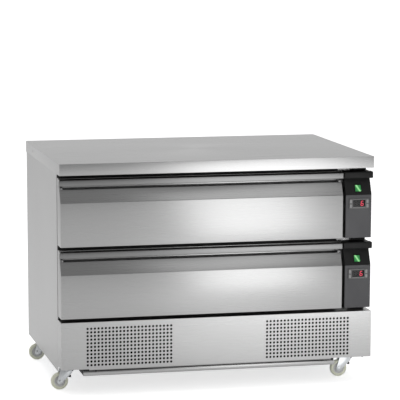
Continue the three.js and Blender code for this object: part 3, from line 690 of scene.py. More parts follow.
# A ring profile, given as (radius, distance along the axis), turned about an axis through a centre
def turned(name, profile, centre, axis="y", sides=32):
    piece = drawLine(name, [(radius, along, 0) for radius, along in profile])
    bpy.ops.mesh.spin(steps=sides, angle=2 * math.pi, center=(0, 0, 0), axis=(0, 1, 0))
    bpy.ops.mesh.select_all(action="SELECT")
    bpy.ops.mesh.remove_doubles(threshold=0.01 * mm)
    bpy.ops.mesh.normals_make_consistent(inside=False)
    leaveEdit()
    turns = {"x": (0, 0, -math.pi / 2), "y": (0, 0, 0), "z": (math.pi / 2, 0, 0)}
    piece.rotation_euler = turns[axis]
    piece.location = Vector(centre) * mm
    return settle(piece)


# Pan head with a cross recess, facing along an axis
screwShape = {
    "head": [(0.0, 1.2), (1.6, 1.1), (2.9, 0.6), (3.5, 0.0), (3.5, -0.4), (0.0, -0.4)],
    "slot": (4.2, 0.9), "slotDepth": 0.5, "sides": 16,
}


def screw(name, place, axis, side):
    profile = [(radius, along * side) for radius, along in screwShape["head"]]
    head = turned(name, profile, place, axis, screwShape["sides"])
    long, wide = (size / 2 for size in screwShape["slot"])
    top = screwShape["head"][0][1] * side
    for u, v in ((long, wide), (wide, long)):
        sides = [(-u, u), (-v, v)]
        sides.insert("xyz".index(axis), span(top, screwShape["slotDepth"]))
        carve(head, bar("slot", *[shifted(at, ends) for at, ends in zip(place, sides)]))
    return head


# One screw, copied to every place
def screws(name, places, axis, side):
    first = screw(name, (0, 0, 0), axis, side)
    copies = [twin(first, name, Vector(place) * mm) for place in places]
    discard(first)
    return copies


def carve(piece, cutter):
    modify(piece, "BOOLEAN", operation="DIFFERENCE", object=cutter)
    discard(cutter)
    return piece


# Perforated base front: one cell with a round hole, repeated over both fields
grille = {
    "pitch": 13.5, "hole": 4.4, "columns": 24, "rows": 11, "lowest": 112,
    "starts": (-480, 193.5),
    "left": -577, "right": 595, "bottom": 97, "top": 271, "face": -400, "sheet": 1, "meeting": 12,
    "cellCuts": 4, "ring": 0.31,       # the cell's cuts, and the half width of the ring round its hole
    "return": ((-575.5, 593.5), (-399, -388), (98.5, 269.5)),
    "matEdge": 9, "matDepth": (-385, -379), "matHeight": (101, 266), "matCorner": 3,
}


def grilleField(name, start, west, east):
    pitch, lowest = grille["pitch"], grille["lowest"]
    middle = Vector((start, grille["face"], lowest)) * mm
    bpy.ops.mesh.primitive_plane_add(size=pitch * mm, rotation=(math.pi / 2, 0, 0))
    piece = bpy.context.object
    piece.name = name
    piece.location = middle
    settle(piece)
    editAll(piece)
    bpy.ops.mesh.subdivide(number_cuts=grille["cellCuts"])
    leaveEdit()
    ring = grille["ring"] * pitch * mm
    removeFaces(piece, lambda face: (face.center - middle).length < ring * 1.05)
    edit(piece, "vertices", lambda v: max(abs(v.co.x - middle.x), abs(v.co.z - middle.z)) < ring)
    bpy.ops.transform.tosphere(value=1)
    leaveEdit()
    rim = [vertex for vertex in piece.data.vertices if vertex.select]
    factor = grille["hole"] * mm / (sum((vertex.co - middle).length for vertex in rim) / len(rim))
    enterEdit()
    bpy.ops.transform.resize(value=(factor, 1, factor))
    leaveEdit()
    for count, way in ((grille["columns"], (1, 0, 0)), (grille["rows"], (0, 0, 1))):
        repeat(piece, count, Vector(way) * pitch * mm, use_merge_vertices=True, merge_threshold=0.05 * mm)
    for axis, first, count, edges in ((2, lowest, grille["rows"], (grille["bottom"], grille["top"])),
                                      (0, start, grille["columns"], (west, east))):
        for steps, edge in zip((-0.5, count - 0.5), edges):
            border = (first + steps * pitch) * mm
            offset = [0, 0, 0]
            offset[axis] = edge * mm - border
            grow(piece, lambda v: abs(v[axis] - border) < 0.1 * mm, offset)
    return piece


# Open edges on one border, drawn out to the sheet's edge
def grow(piece, test, offset):
    editEdges(piece, lambda a, b: test(a) and test(b))
    bpy.ops.mesh.extrude_region_move(TRANSFORM_OT_translate={"value": offset})
    leaveEdit()


def buildGrille():
    left = grilleField("leftField", grille["starts"][0], grille["left"], grille["meeting"])
    right = grilleField("rightField", grille["starts"][1], grille["meeting"], grille["right"])
    panel = together("baseFrontSheet", left, right)
    editAll(panel)
    bpy.ops.mesh.remove_doubles(threshold=0.05 * mm)
    bpy.ops.mesh.normals_make_consistent(inside=False)
    leaveEdit()
    if sum(face.normal.y for face in panel.data.polygons[:50]) > 0:
        editAll(panel)
        bpy.ops.mesh.flip_normals()
        leaveEdit()
    thicken(panel, grille["sheet"])
    fold = bar("panelReturn", *grille["return"])
    removeFaces(fold, facing("+y", "-y"))
    thicken(fold, grille["sheet"])
    panel = smooth(together("perforatedBaseFront", panel, fold))
    finish(panel, "cabinet", "perforated_steel", finishes["baseSteel"], "base_front_panel")
    width = (grille["columns"] - 1) * grille["pitch"]
    # Black mats close behind both fields paint the shade inside the base
    for name, start in zip(("leftShadeMat", "rightShadeMat"), grille["starts"]):
        reach = (start - grille["matEdge"], start + width + grille["matEdge"])
        mat = pad(name, reach, grille["matDepth"], grille["matHeight"], grille["matCorner"], "y")
        finish(mat, "cabinet", "gasket_rubber", finishes["shadeMat"])
    print("grille ready", len(panel.data.polygons))


buildGrille()

# Drawer fronts: folded skin with its groove, lip bar and end caps
floors = {"lower": 284, "upper": 547}      # lower edge of each drawer front

drawerFront = {
    "left": -576, "right": 479, "face": -400, "sheet": 1, "capWidth": 11,
    "skin": [(73.5, 0), (0, 0), (0, 161), (22, 208), (40, 212), (40, 234), (18, 234), (18, 221.5),
             (9.5, 221.5), (9.5, 242.6), (43, 242.6), (43, 246), (73.5, 246)],
    "lip": {"x": (-579, 484), "depth": (9, 18.2), "height": (221, 243), "round": 3},
    "cap": [(21.7, 207.6), (27.9, 221.2), (41, 221.2), (41, 207.6)],
    "capInset": 0.6, "foldRound": 1.6, "endRound": 0.4, "openFrom": 65,
}


def buildDrawerFront(row, floor):
    front = drawerFront["face"]
    outline = [(drawerFront["left"], front + depth, floor + height) for depth, height in drawerFront["skin"]]
    skin = drawSolid("drawerSkin", outline, (drawerFront["right"] - drawerFront["left"], 0, 0))
    backwards = facing("+y")
    removeFaces(skin, lambda face: backwards(face) and face.center.y > (front + drawerFront["openFrom"]) * mm)
    roundCorners(skin, drawerFront["foldRound"], "x", 3)
    roundFolds(skin, drawerFront["endRound"], 2, 60)
    thicken(skin, drawerFront["sheet"])
    lip = drawerFront["lip"]
    edge = bar("lip", lip["x"], shifted(front, lip["depth"]), shifted(floor, lip["height"]))
    roundFolds(edge, lip["round"])
    caps = []
    inset = drawerFront["capInset"]
    for start in (drawerFront["left"] + inset, drawerFront["right"] - inset - drawerFront["capWidth"]):
        outline = [(start, front + depth, floor + height) for depth, height in drawerFront["cap"]]
        caps.append(soften(drawSolid("cap", outline, (drawerFront["capWidth"], 0, 0)), 0.5))
    piece = smooth(together(row + "DrawerFront", skin, *caps))
    finish(piece, row + "_drawer", "drawer_steel", finishes["drawerSteel"], row + "_drawer_shell")
    # The lip bar takes the darker steel, as painted shade
    edge.name = row + "DrawerLip"
    finish(smooth(edge), row + "_drawer", "drawer_steel", finishes["shadedLipSteel"])


for row, floor in floors.items():
    buildDrawerFront(row, floor)
print("drawer fronts ready")

# Worktop: folded tray over its core, with screws in the left skirt
worktop = {
    "x": (-579, 597), "y": (-400, 400), "z": (807.5, 850), "sheet": 1.5, "edge": 1.4,
    "screws": [(-579, -214, 828), (-579, 221, 828)],
}


def buildWorktop():
    skin = bar("worktopSkin", worktop["x"], worktop["y"], worktop["z"])
    removeFaces(skin, facing("-z"))
    roundFolds(skin, worktop["edge"])
    thicken(skin, worktop["sheet"])
    heads = screws("skirtScrew", worktop["screws"], "x", -1)
    piece = smooth(together("worktopTray", skin, *heads))
    finish(piece, "cabinet", "worktop_steel", finishes["worktopSteel"], "worktop")
    print("worktop ready")


buildWorktop()

# Casing: two sides and the back from one sheet, the hemmed rear window and the fixing screws
casing = {
    "x": (-577, 589), "y": (-324.7, 398), "z": (76, 807.2), "sheet": 1, "fold": 2.5,
    "window": {"x": (-509, 477), "z": (122, 262), "hem": 11, "corner": 4},
    "gland": {"place": (507, 397.5, 150), "radius": 11.3},
    "screwColumns": (-562, 574), "screwRows": (300, 460, 620, 780),
}


def buildCasing():
    walls = bar("casingSheet", casing["x"], casing["y"], casing["z"])
    removeFaces(walls, facing("+z", "-z", "-y"))
    roundCorners(walls, casing["fold"], "z", 3, lambda a, b: a.y > 0)
    thicken(walls, casing["sheet"])
    back = casing["y"][1]
    window = casing["window"]
    carve(walls, bar("windowCutter", window["x"], (back - 20, back + 5), window["z"]))
    gland = casing["gland"]
    carve(walls, pin("glandCutter", gland["place"], gland["radius"], 20, "y", 32))
    grown = [(low - casing["sheet"], high + casing["sheet"]) for low, high in (window["x"], window["z"])]
    hem = bar("windowHem", grown[0], (back - window["hem"], back - 0.4), grown[1])
    removeFaces(hem, facing("+y", "-y"))
    roundCorners(hem, window["corner"], "y", 3)
    thicken(hem, casing["sheet"])
    places = [(x, back, z) for x in casing["screwColumns"] for z in casing["screwRows"]]
    piece = smooth(together("casingShell", walls, hem, *screws("backScrew", places, "y", 1)))
    finish(piece, "cabinet", "sheet_steel", finishes["sideSteel"], "casing")
    bush = turned("cableBush", cableBush, gland["place"], "y", 40)
    smooth(bush)
    finish(bush, "cabinet", "gasket_rubber", finishes["rubber"], "cable_gland")
    print("casing ready")


# Rubber bush: radius and distance from the middle of the sheet
cableBush = [
    (5, -3.6), (12, -3.8), (13.8, -3.2), (13.8, -1.4), (11, -0.8), (11, 0.8), (13.8, 0.8), (13.8, 1),
    (13, 1.5), (8, 1.5), (6, 1.3), (5, 0.8), (5, -3.6),
]

buildCasing()

# Base: the box behind the perforated sheet, the tray with its bar, and the runners, black as painted shade
# under the cabinet
base = {
    "x": (-577, 595), "y": (-398.7, -325), "z": (97, 271), "sheet": 1, "fold": 1.2,
    "apron": ((-470, 448), (-373, -372), (84.5, 98)),
}


def buildBase():
    box = bar("baseBoxWalls", base["x"], base["y"], base["z"])
    removeFaces(box, facing("+y", "-y"))
    roundCorners(box, base["fold"], "y", 3)
    thicken(box, base["sheet"])
    apron = soften(bar("apron", *base["apron"]), 0.3)
    piece = smooth(together("baseBox", box, apron))
    finish(piece, "cabinet", "sheet_steel", finishes["baseSteel"], "base_surround")
    print("base box ready")


buildBase()

tray = {
    "x": (-467, 434), "y": (-371, 30), "z": (68, 83), "sheet": 1, "corner": 4, "floorBend": 2,
    "bar": {"x": (-493, 460), "outline": [(-382, 68), (-370, 68), (-370, 83), (-371, 83), (-371, 69),
                                          (-381, 69), (-381, 83), (-382, 83)]},
    "fixings": [(-446, -376.5, 84), (413, -376.5, 84)], "fixing": (2.6, 3),      # radius and height
}


def buildTray():
    tub = bar("trayTub", tray["x"], tray["y"], tray["z"])
    removeFaces(tub, facing("+z"))
    roundCorners(tub, tray["corner"], "z", 3, lambda a, b: a.y > 0)
    bend(tub, tray["floorBend"], lambda a, b: max(a.z, b.z) < tray["z"][0] + 0.1)
    thicken(tub, tray["sheet"])
    west, east = tray["bar"]["x"]
    outline = [(west, y, z) for y, z in tray["bar"]["outline"]]
    front = soften(drawSolid("trayBar", outline, (east - west, 0, 0)), 0.35)
    piece = smooth(together("condensateTray", tub, front))
    finish(piece, "cabinet", "sheet_steel", finishes["baseSteel"], "condensate_tray")
    heads = [pin("trayFixing", place, *tray["fixing"], "z", 12) for place in tray["fixings"]]
    for head in heads:
        soften(head, 0.5)
    fixings = together("trayFixings", *heads)
    finish(fixings, "cabinet", "dark_steel", finishes["darkSteel"])
    # The runners are black as painted shade: the dark under the cabinet is shadow
    runners = fromNode("tray_runners", "trayRunners")
    soften(runners, 0.8, 2, 40)
    finish(runners, "cabinet", "dark_steel", finishes["darkSteel"], "tray_runners")
    print("tray ready")


buildTray()

# Control pods: moulded housing with its lip, fascia, rocker switch and controller
pod = {
    "x": (491, 591), "face": -400, "edge": (1.2, 3, 15),       # width, segments and least angle of a bevel
    "body": [(7.3, 0), (74.8, 0), (74.8, 245.6), (30, 245.6), (30, 221.4), (33.3, 221.2), (5.2, 160.4),
             (7.3, 160.4)],
    "lip": {"x": (486, 596), "depth": (5, 40), "height": (221, 246), "round": 5.5, "edge": (2.2, 3, 40)},
    "plate": {"x": (533.4, 587), "depth": (66, 75)},
    "plateHeights": {"lower": (271.2, 546.8), "upper": (547.2, 807)},
    "fascia": {"x": (491.4, 590.6), "depth": (5, 7), "height": (0, 160), "corner": 2, "edge": (0.8, 3, 40)},
    "switch": {"place": (541, -384, 183.8), "lean": 25.1, "pocket": (11.3, 14.2), "pocketDepth": (-8, 13),
               "frame": (14, 17.5), "frameDepth": (-1.6, 0.6)},
    "controller": {"place": (542, 128), "bezel": (38, 19), "body": (33, 15), "gap": 0.3, "bayDepth": 41.3},
}


# What the controller's body takes out of the parts that it sits in
def controllerBay(floor, depth):
    centre, rise = pod["controller"]["place"]
    wide, tall = (half + pod["controller"]["gap"] for half in pod["controller"]["body"])
    return bar("bay", span(centre, wide), depth, span(floor + rise, tall))


def buildPod(row, floor):
    front = pod["face"]
    west, east = pod["x"]
    outline = [(west, front + depth, floor + height) for depth, height in pod["body"]]
    housing = drawSolid("podBody", outline, (east - west, 0, 0))
    soften(housing, *pod["edge"])
    lip = pod["lip"]
    rim = bar("podLip", lip["x"], shifted(front, lip["depth"]), shifted(floor, lip["height"]))
    roundCorners(rim, lip["round"], "x", 5)
    soften(rim, *lip["edge"])
    plate = pod["plate"]
    backing = bar("podPlate", plate["x"], shifted(front, plate["depth"]), pod["plateHeights"][row])
    soften(backing, 1)
    switch = pod["switch"]
    place = Vector(switch["place"]) + Vector((0, 0, floor))
    halfX, halfZ = switch["pocket"]
    pocket = bar("pocket", (-halfX, halfX), switch["pocketDepth"], (-halfZ, halfZ))
    carve(housing, leanInto(pocket, place, switch["lean"]))
    carve(housing, controllerBay(floor, (front - 5, front + pod["controller"]["bayDepth"])))
    piece = smooth(together(row + "PodHousing", housing, rim, backing))
    finish(piece, "cabinet", "pod_plastic", finishes["pod"], row + "_pod_housing")
    wide, tall = switch["frame"]
    frame = pad("switchFrame", (-wide, wide), switch["frameDepth"], (-tall, tall), 2.5, "y", 0.6)
    carve(frame, pad("frameHole", (-halfX, halfX), (-5, 5), (-halfZ, halfZ), 1, "y", 0.1))
    smooth(leanInto(frame, place, switch["lean"]))
    frame.name = row + "SwitchFrame"
    finish(frame, "cabinet", "pod_plastic", finishes["pod"])


def buildFascia(row, floor):
    film = pod["fascia"]
    front = pod["face"]
    piece = bar(row + "Fascia", film["x"], shifted(front, film["depth"]), shifted(floor, film["height"]))
    roundCorners(piece, film["corner"], "y", 3, lambda a, b: a.z < (floor + 5))
    soften(piece, *film["edge"])
    carve(piece, controllerBay(floor, (front, front + 20)))
    finish(smooth(piece), "cabinet", "fascia_plastic", finishes["fascia"], row + "_fascia")


# Rocker in section, forwards and up from its pivot line; its upper half is pressed in
rocker = {
    "half": 11,
    "section": [(-1, 12), (-0.5, 9), (-0.3, 5), (-1, 0), (-2, -5), (-3.2, -9), (-4.2, -12), (3, -12),
                (6.4, 0), (3, 12)],
    # The green glow is the lit switch's own light; the pale core band across it is a painted highlight
    "body": (0.02, 0.16, 0.04, 1), "glow": (0.012, 0.17, 0.035, 1), "core": (0.45, 1.0, 0.42, 1),
    "slant": 0.55, "strength": 0.7, "edge": (0.9, 3, 40),
}


def buildRocker(row, floor):
    half = rocker["half"]
    outline = [(-half, y, z) for y, z in rocker["section"]]
    piece = drawSolid(row + "Rocker", outline, (2 * half, 0, 0))
    soften(piece, *rocker["edge"])
    switch = pod["switch"]
    place = Vector(switch["place"]) + Vector((0, 0, floor))
    leanInto(piece, place, switch["lean"])
    glow = litPlastic(row + "RockerGlowAndHighlight", rocker["body"], rocker["glow"], rocker["core"], place,
                      rocker["slant"], rocker["strength"])
    finish(piece, row + "_rocker", "switch_green", glow, row + "_rocker_switch")


controller = {
    "front": -399.3, "back": -395.3, "bodyBack": -359, "corner": 3, "edge": 0.7,
    "display": {"x": (-23.5, 23.5), "z": (-11.5, 13.5), "deep": 1, "corner": 1.2, "glass": (-0.35, 0.2)},
    "frameBar": {"x": (-23.5, 23.5), "y": (-0.25, 0.1), "z": (-15.2, -13.2)},
    "ticks": {"count": 9, "pitch": 5.2, "width": 2.6, "y": (-0.15, 0.1), "z": (15.6, 16.7)},
    "digits": (-13.5, -1, 11.5), "digitRise": 1,
    "digit": {"half": 4.2, "tall": 8.2, "thick": 2, "lean": 0.1, "gap": 0.3, "proud": 0.5, "deep": 0.3},
    "keyColumns": (-32, 32), "keyRows": (8.5, -8.5), "key": (4, 6.5), "keyGap": 0.3, "keyHole": 2.9,
    "keyDepth": (-0.4, 1.7), "keyCorner": 1.6, "keyEdge": 0.6,
    "lit": ("top", "upperLeft", "middle", "lowerLeft", "lowerRight", "bottom"),
    "red": (1.0, 0.04, 0.1, 1), "redBody": (0.2, 0.01, 0.02, 1), "redStrength": 0.9,
}


# Seven-segment figure: each bar is a flat hexagon, leaning with the figure
def digitSegments(x, z):
    shape = controller["digit"]
    half, tall, thick = shape["half"], shape["tall"], shape["thick"] / 2
    bars = {
        "top": (0, tall, True), "middle": (0, 0, True), "bottom": (0, -tall, True),
        "upperLeft": (-half, tall / 2, False), "upperRight": (half, tall / 2, False),
        "lowerLeft": (-half, -tall / 2, False), "lowerRight": (half, -tall / 2, False),
    }
    made = {}
    y = controller["front"] + controller["display"]["deep"] - shape["proud"]
    for label, (u, v, level) in bars.items():
        long = (half if level else tall / 2) - shape["gap"]
        ends = [(-long, 0), (thick - long, -thick), (long - thick, -thick), (long, 0), (long - thick, thick),
                (thick - long, thick)]
        corners = [(a, b) if level else (b, a) for a, b in ends]
        outline = [(x + u + a + shape["lean"] * (v + b), y, z + v + b) for a, b in corners]
        made[label] = drawSolid("segment", outline, (0, shape["deep"], 0))
    return made


def buildController(row, floor):
    centre, rise = pod["controller"]["place"]
    middle = floor + rise
    wide, tall = pod["controller"]["bezel"]
    inWide, inTall = pod["controller"]["body"]
    front, back = controller["front"], controller["back"]
    bezel = pad("bezel", span(centre, wide), (front, back), span(middle, tall), controller["corner"], "y",
                controller["edge"])
    display = controller["display"]
    windowX = shifted(centre, display["x"])
    windowZ = shifted(middle, display["z"])
    windowY = (front - 3, front + display["deep"])
    carve(bezel, pad("windowCutter", windowX, windowY, windowZ, display["corner"], "y", 0.1))
    keyWide, keyTall = controller["key"]
    gap = controller["keyGap"]
    holeDepth = (front - 3, front + controller["keyHole"])
    columns, levels = shifted(centre, controller["keyColumns"]), shifted(middle, controller["keyRows"])
    keys = [(x, z) for x in columns for z in levels]
    for x, z in keys:
        carve(bezel, bar("keyHole", span(x, keyWide + gap), holeDepth, span(z, keyTall + gap)))
    body = bar("body", span(centre, inWide), (back - 0.3, controller["bodyBack"]), span(middle, inTall))
    piece = smooth(together(row + "Controller", bezel, soften(body, 0.8)))
    finish(piece, "cabinet", "controller_plastic", finishes["bezel"], row + "_controller")
    glassY = shifted(windowY[1], display["glass"])
    glass = pad(row + "DisplayWindow", windowX, glassY, windowZ, display["corner"], "y", 0.1)
    finish(glass, "cabinet", "controller_plastic", finishes["displayGlass"])
    lit, dark = [], []
    for x in controller["digits"]:
        for label, part in digitSegments(centre + x, middle + controller["digitRise"]).items():
            lights = x == controller["digits"][-1] and label in controller["lit"]
            (lit if lights else dark).append(part)
    red = controller["red"]
    redLight = litPlastic(row + "Figure", controller["redBody"], red, red, (0, 0, 0), 0,
                          controller["redStrength"])
    finish(together(row + "LitFigure", *lit), "cabinet", "controller_plastic", redLight)
    finish(together(row + "DarkFigures", *dark), "cabinet", "controller_plastic", finishes["deadSegment"])
    edge, ticks = controller["frameBar"], controller["ticks"]
    marks = [bar("frameBar", shifted(centre, edge["x"]), shifted(front, edge["y"]),
                 shifted(middle, edge["z"]))]
    for i in range(ticks["count"]):
        x = centre + (i - (ticks["count"] - 1) / 2) * ticks["pitch"]
        marks.append(bar("tick", span(x, ticks["width"] / 2), shifted(front, ticks["y"]),
                         shifted(middle, ticks["z"])))
    for mark in marks:
        soften(mark, 0.1, 1)
    finish(together(row + "ControllerMarks", *marks), "cabinet", "key_plastic", finishes["mark"])
    for i, (x, z) in enumerate(keys, 1):
        name = f"{row}_key_{i}"
        cap = pad(f"{row}Key{i}", span(x, keyWide), shifted(front, controller["keyDepth"]), span(z, keyTall),
                  controller["keyCorner"], "y", controller["keyEdge"])
        finish(cap, name, "key_plastic", finishes["key"], name)


for row, floor in floors.items():
    buildPod(row, floor)
    buildFascia(row, floor)
    buildRocker(row, floor)
    buildController(row, floor)
print("control pods ready")

# Castors, modelled about the swivel axis and copied to the four corners
castor = {
    "places": {"front_left": (-540, -278), "front_right": (531, -278), "rear_left": (-540, 262),
               "rear_right": (531, 262)},
    "trail": -25, "axle": 32,
    "race": [(0, 91.6), (23, 91.6), (24, 91), (24, 89.4), (22.2, 88.9), (22.2, 88.1), (24, 87.6), (24, 85.6),
             (22.5, 84.8), (0, 84.8)],
    "leg": {"inner": 12, "wall": 2.5, "foot": 10.5, "footArc": (168, 345), "arcSteps": 12, "top": 86.5,
            "half": 20, "heel": 62},
    "hood": (83.4, 86.5), "kingpin": {"z": 82.6, "radius": 8, "height": 5},
    "axleRadius": 3.9, "axleHead": {"out": 2, "radius": 6.2, "height": 4},
    "washer": {"out": 0.4, "radius": 8, "height": 1},
    "tyre": [(20.6, -8.6), (26.5, -9.6), (30, -8.4), (31.6, -5.5), (32, -2), (32, 2), (31.6, 5.5), (30, 8.4),
             (26.5, 9.6), (20.6, 8.6), (20.6, -8.6)],
    "hub": [(4.2, -8.8), (7.4, -8.8), (8.4, -6), (17.6, -5.2), (19, -7.4), (20.9, -7.8), (20.9, 7.8),
            (19, 7.4), (17.6, 5.2), (8.4, 6), (7.4, 8.8), (4.2, 8.8), (4.2, -8.8)],
    "hubBolts": {"count": 5, "start": 0.4, "reach": 13, "out": 6.2, "radius": 1.7, "height": 1.6},
    "pedal": [(3, 56), (7, 47), (13.5, 44.5), (18, 49), (15, 56), (19, 64), (26, 71), (31, 77.5),
              (28.5, 81.5), (22, 79.5), (15, 77), (9.5, 68)],
    "pedalHalf": 11.4,
}


def castorFork():
    race = turned("race", castor["race"], (0, 0, 0), "z", 40)
    bolt = castor["kingpin"]
    kingpin = soften(pin("kingpin", (0, 0, bolt["z"]), bolt["radius"], bolt["height"], "z", 6), 0.6)
    leg = castor["leg"]
    start, end = map(math.radians, leg["footArc"])
    steps, reach = leg["arcSteps"], leg["foot"]
    arc = [start + (end - start) * i / steps for i in range(steps + 1)]
    foot = [(castor["trail"] + reach * math.cos(a), castor["axle"] + reach * math.sin(a)) for a in arc]
    outline = [(-leg["half"], leg["top"])] + foot + [(leg["half"], leg["heel"]), (leg["half"], leg["top"])]
    parts = [race, kingpin]
    for near in (-leg["inner"] - leg["wall"], leg["inner"]):
        side = drawSolid("leg", [(x, near, z) for x, z in outline], (0, leg["wall"], 0))
        parts.append(soften(side, 0.5))
    outer = leg["inner"] + leg["wall"]
    parts.append(soften(bar("hood", span(0, leg["half"]), (-outer, outer), castor["hood"]), 1))
    for side in (-1, 1):
        ends = []
        for label, sides in (("axleHead", 6), ("washer", 24)):
            shape = castor[label]
            place = (castor["trail"], side * (outer + shape["out"]), castor["axle"])
            ends.append(pin(label, place, shape["radius"], shape["height"], "y", sides))
        soften(ends[0], 0.6)
        parts += ends
    parts.append(pin("axle", (castor["trail"], 0, castor["axle"]), castor["axleRadius"], 2 * outer, "y", 20))
    return smooth(together("forkModel", *parts))


def castorWheel():
    centre = (castor["trail"], 0, castor["axle"])
    tyre = smooth(turned("tyreModel", castor["tyre"], centre, "y", 56), 50)
    hub = turned("hubModel", castor["hub"], centre, "y", 40)
    bolts = castor["hubBolts"]
    heads = []
    for i in range(bolts["count"]):
        angle = 2 * math.pi * i / bolts["count"] + bolts["start"]
        x = centre[0] + bolts["reach"] * math.cos(angle)
        z = centre[2] + bolts["reach"] * math.sin(angle)
        for side in (-1, 1):
            place = (x, side * bolts["out"], z)
            heads.append(pin("hubBolt", place, bolts["radius"], bolts["height"], "y", 8))
    return tyre, smooth(together("hubModel", hub, *heads))


def brakePedal():
    half = castor["pedalHalf"]
    lever = drawSolid("pedalModel", [(x, -half, z) for x, z in castor["pedal"]], (0, 2 * half, 0))
    return soften(lever, 1.4, 3, 20)


def buildCastors():
    fork, (tyre, hub), pedal = castorFork(), castorWheel(), brakePedal()
    for name, (x, y) in castor["places"].items():
        label = name.title().replace("_", "")
        offset = Vector((x, y, 0)) * mm
        finish(twin(fork, "castorFork" + label, offset), "castor_" + name, "zinc_plate", finishes["zinc"],
               "castor_fork_" + name)
        finish(twin(tyre, "castorTyre" + label, offset), "wheel_" + name, "castor_tyre", finishes["tyre"],
               "castor_wheel_" + name)
        finish(twin(hub, "castorHub" + label, offset), "wheel_" + name, "castor_tyre", finishes["hub"])
        if name.startswith("front"):
            finish(twin(pedal, "brakePedal" + label, offset), "brake_" + name, "pod_plastic", finishes["pod"],
                   "brake_pedal_" + name)
    discard(fork, tyre, hub, pedal)
    print("castors ready")


buildCastors()

# Inside the drawers: slides, bins, liners, inner pans, gaskets, and black strips between the fronts that
# paint the shade in the gaps


# A flat face pressed in or out, within a margin and a sloping edge
def press(piece, test, margin, offset, slope):
    edit(piece, "polygons", test)
    bpy.ops.mesh.inset(thickness=margin * mm)
    bpy.ops.mesh.inset(thickness=slope * mm)
    bpy.ops.transform.translate(value=Vector(offset) * mm)
    leaveEdit()
    return piece


# Members of a telescopic slide: stand-off of the web from the wall, reach of the flanges, and height
slide = {
    "y": (-310, 190), "rise": 100, "sheet": 1.5, "fold": 1.2,
    "walls": {"Left": (-526, 1), "Right": (429, -1)},      # where a wall stands, and which way is inwards
    "members": {"outer": (-0.5, 8, 45), "middle": (1.8, 9.8, 41.4), "inner": (3.6, 13.5, 37.8)},
    "holes": (-285, -200, -60, 60, 165), "hole": 2.6,
    "stop": {"y": (180, 188), "half": 7, "reach": {"inner": 5, "middle": 0.25}},
}


def channel(name, member, side, floor):
    web, reach, tall = slide["members"][member]
    wall, inward = slide["walls"][side]
    thick, half = slide["sheet"], tall / 2
    back = max(web, 0) + thick
    middle = floor + slide["rise"]
    start, end = slide["y"]
    section = [(web, -half), (reach, -half), (reach, thick - half), (back, thick - half),
               (back, half - thick), (reach, half - thick), (reach, half), (web, half)]
    outline = [(wall + inward * x, start, middle + z) for x, z in section]
    piece = drawSolid(name, outline, (0, end - start, 0))
    outside = wall + inward * web
    roundCorners(piece, slide["fold"], "y", 3, lambda a, b: abs(a.x - outside) < 0.01)
    if member != "outer":
        for y in slide["holes"]:
            carve(piece, pin("slideHole", (outside, y, middle), slide["hole"], 12, "x", 16))
        stop = slide["stop"]
        reach = sorted((wall + inward * back, wall + inward * (back + stop["reach"][member])))
        tab = bar("slideStop", reach, stop["y"], span(middle, stop["half"]))
        piece = together(name, piece, tab)
    return smooth(piece)


binTub = {
    "x": (-512, 415), "y": (-319.7, 220.3), "rise": (40, 190), "sheet": 1, "corner": 9, "floorBend": 5,
    "rim": 6, "hem": 5, "panel": (34, 2),
}


def buildBin(row, floor):
    low, high = shifted(floor, binTub["rise"])
    sheet = binTub["sheet"]
    tub = bar("binTub", binTub["x"], binTub["y"], (low, high))
    removeFaces(tub, facing("+z"))
    roundCorners(tub, binTub["corner"], "z", 4)
    bend(tub, binTub["floorBend"], lambda a, b: max(a.z, b.z) < low + 0.1)
    thicken(tub, sheet)
    margin, rise = binTub["panel"]
    floorPlan = [(near + margin, far - margin) for near, far in (binTub["x"], binTub["y"])]
    parts = [tub, pad("binPanel", *floorPlan, (low + sheet / 2, low + sheet + rise), 9, "z", 1)]
    start, end = (binTub["y"][0] + binTub["corner"], binTub["y"][1] - binTub["corner"])
    for wall, out in zip(binTub["x"], (-1, 1)):
        root, edge, foot = wall - out * 0.5, wall + out * binTub["rim"], high - binTub["hem"]
        outline = [(root, high - sheet), (root, high), (edge, high), (edge, foot), (edge - out * sheet, foot),
                   (edge - out * sheet, high - sheet)]
        rim = drawSolid("binRim", [(x, start, z) for x, z in outline], (0, end - start, 0))
        parts.append(soften(rim, 0.35))
    parts += [channel("binRail", "inner", side, floor) for side in slide["walls"]]
    piece = smooth(together(row + "Bin", *parts))
    finish(piece, row + "_drawer", "liner_steel", finishes["binSteel"], row + "_bin")


def buildSlides(row, floor):
    for side in slide["walls"]:
        piece = channel(f"{row}Slide{side}", "middle", side, floor)
        finish(piece, row + "_slides", "zinc_plate", finishes["zinc"], f"{row}_slide_{side.lower()}")


liner = {"x": (-527, 430), "y": (-324.2, 343), "face": -324.7, "rise": (31, 213), "sheet": 1, "corner": 10,
         "backBend": 6}


def buildLiner(row, floor):
    low, high = shifted(floor, liner["rise"])
    sheet = liner["sheet"]
    tub = bar("linerTub", liner["x"], liner["y"], (low, high))
    removeFaces(tub, facing("-y"))
    roundCorners(tub, liner["corner"], "y", 4)
    bend(tub, liner["backBend"], lambda a, b: min(a.y, b.y) > liner["y"][1] - 0.1)
    thicken(tub, sheet)
    first, last = (corner / mm for corner in map(Vector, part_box(row + "_liner")))
    face = liner["face"]
    flange = bar("linerFlange", (first.x, last.x), (face, face + sheet), (first.z, last.z))
    mouth = [(near + sheet, far - sheet) for near, far in (liner["x"], (low, high))]
    cutter = bar("mouthCutter", mouth[0], (face - 5, face + 5), mouth[1])
    roundCorners(cutter, liner["corner"] - sheet, "y", 4)
    carve(flange, cutter)
    soften(flange, 0.3)
    rails = [channel("outerRail", "outer", side, floor) for side in slide["walls"]]
    piece = smooth(together(row + "Liner", tub, flange, *rails))
    finish(piece, "cabinet", "liner_steel", finishes["linerSteel"], row + "_liner")


innerPan = {"plugFace": -321, "panel": 24, "recess": 3, "slope": 4, "edge": 1.5}


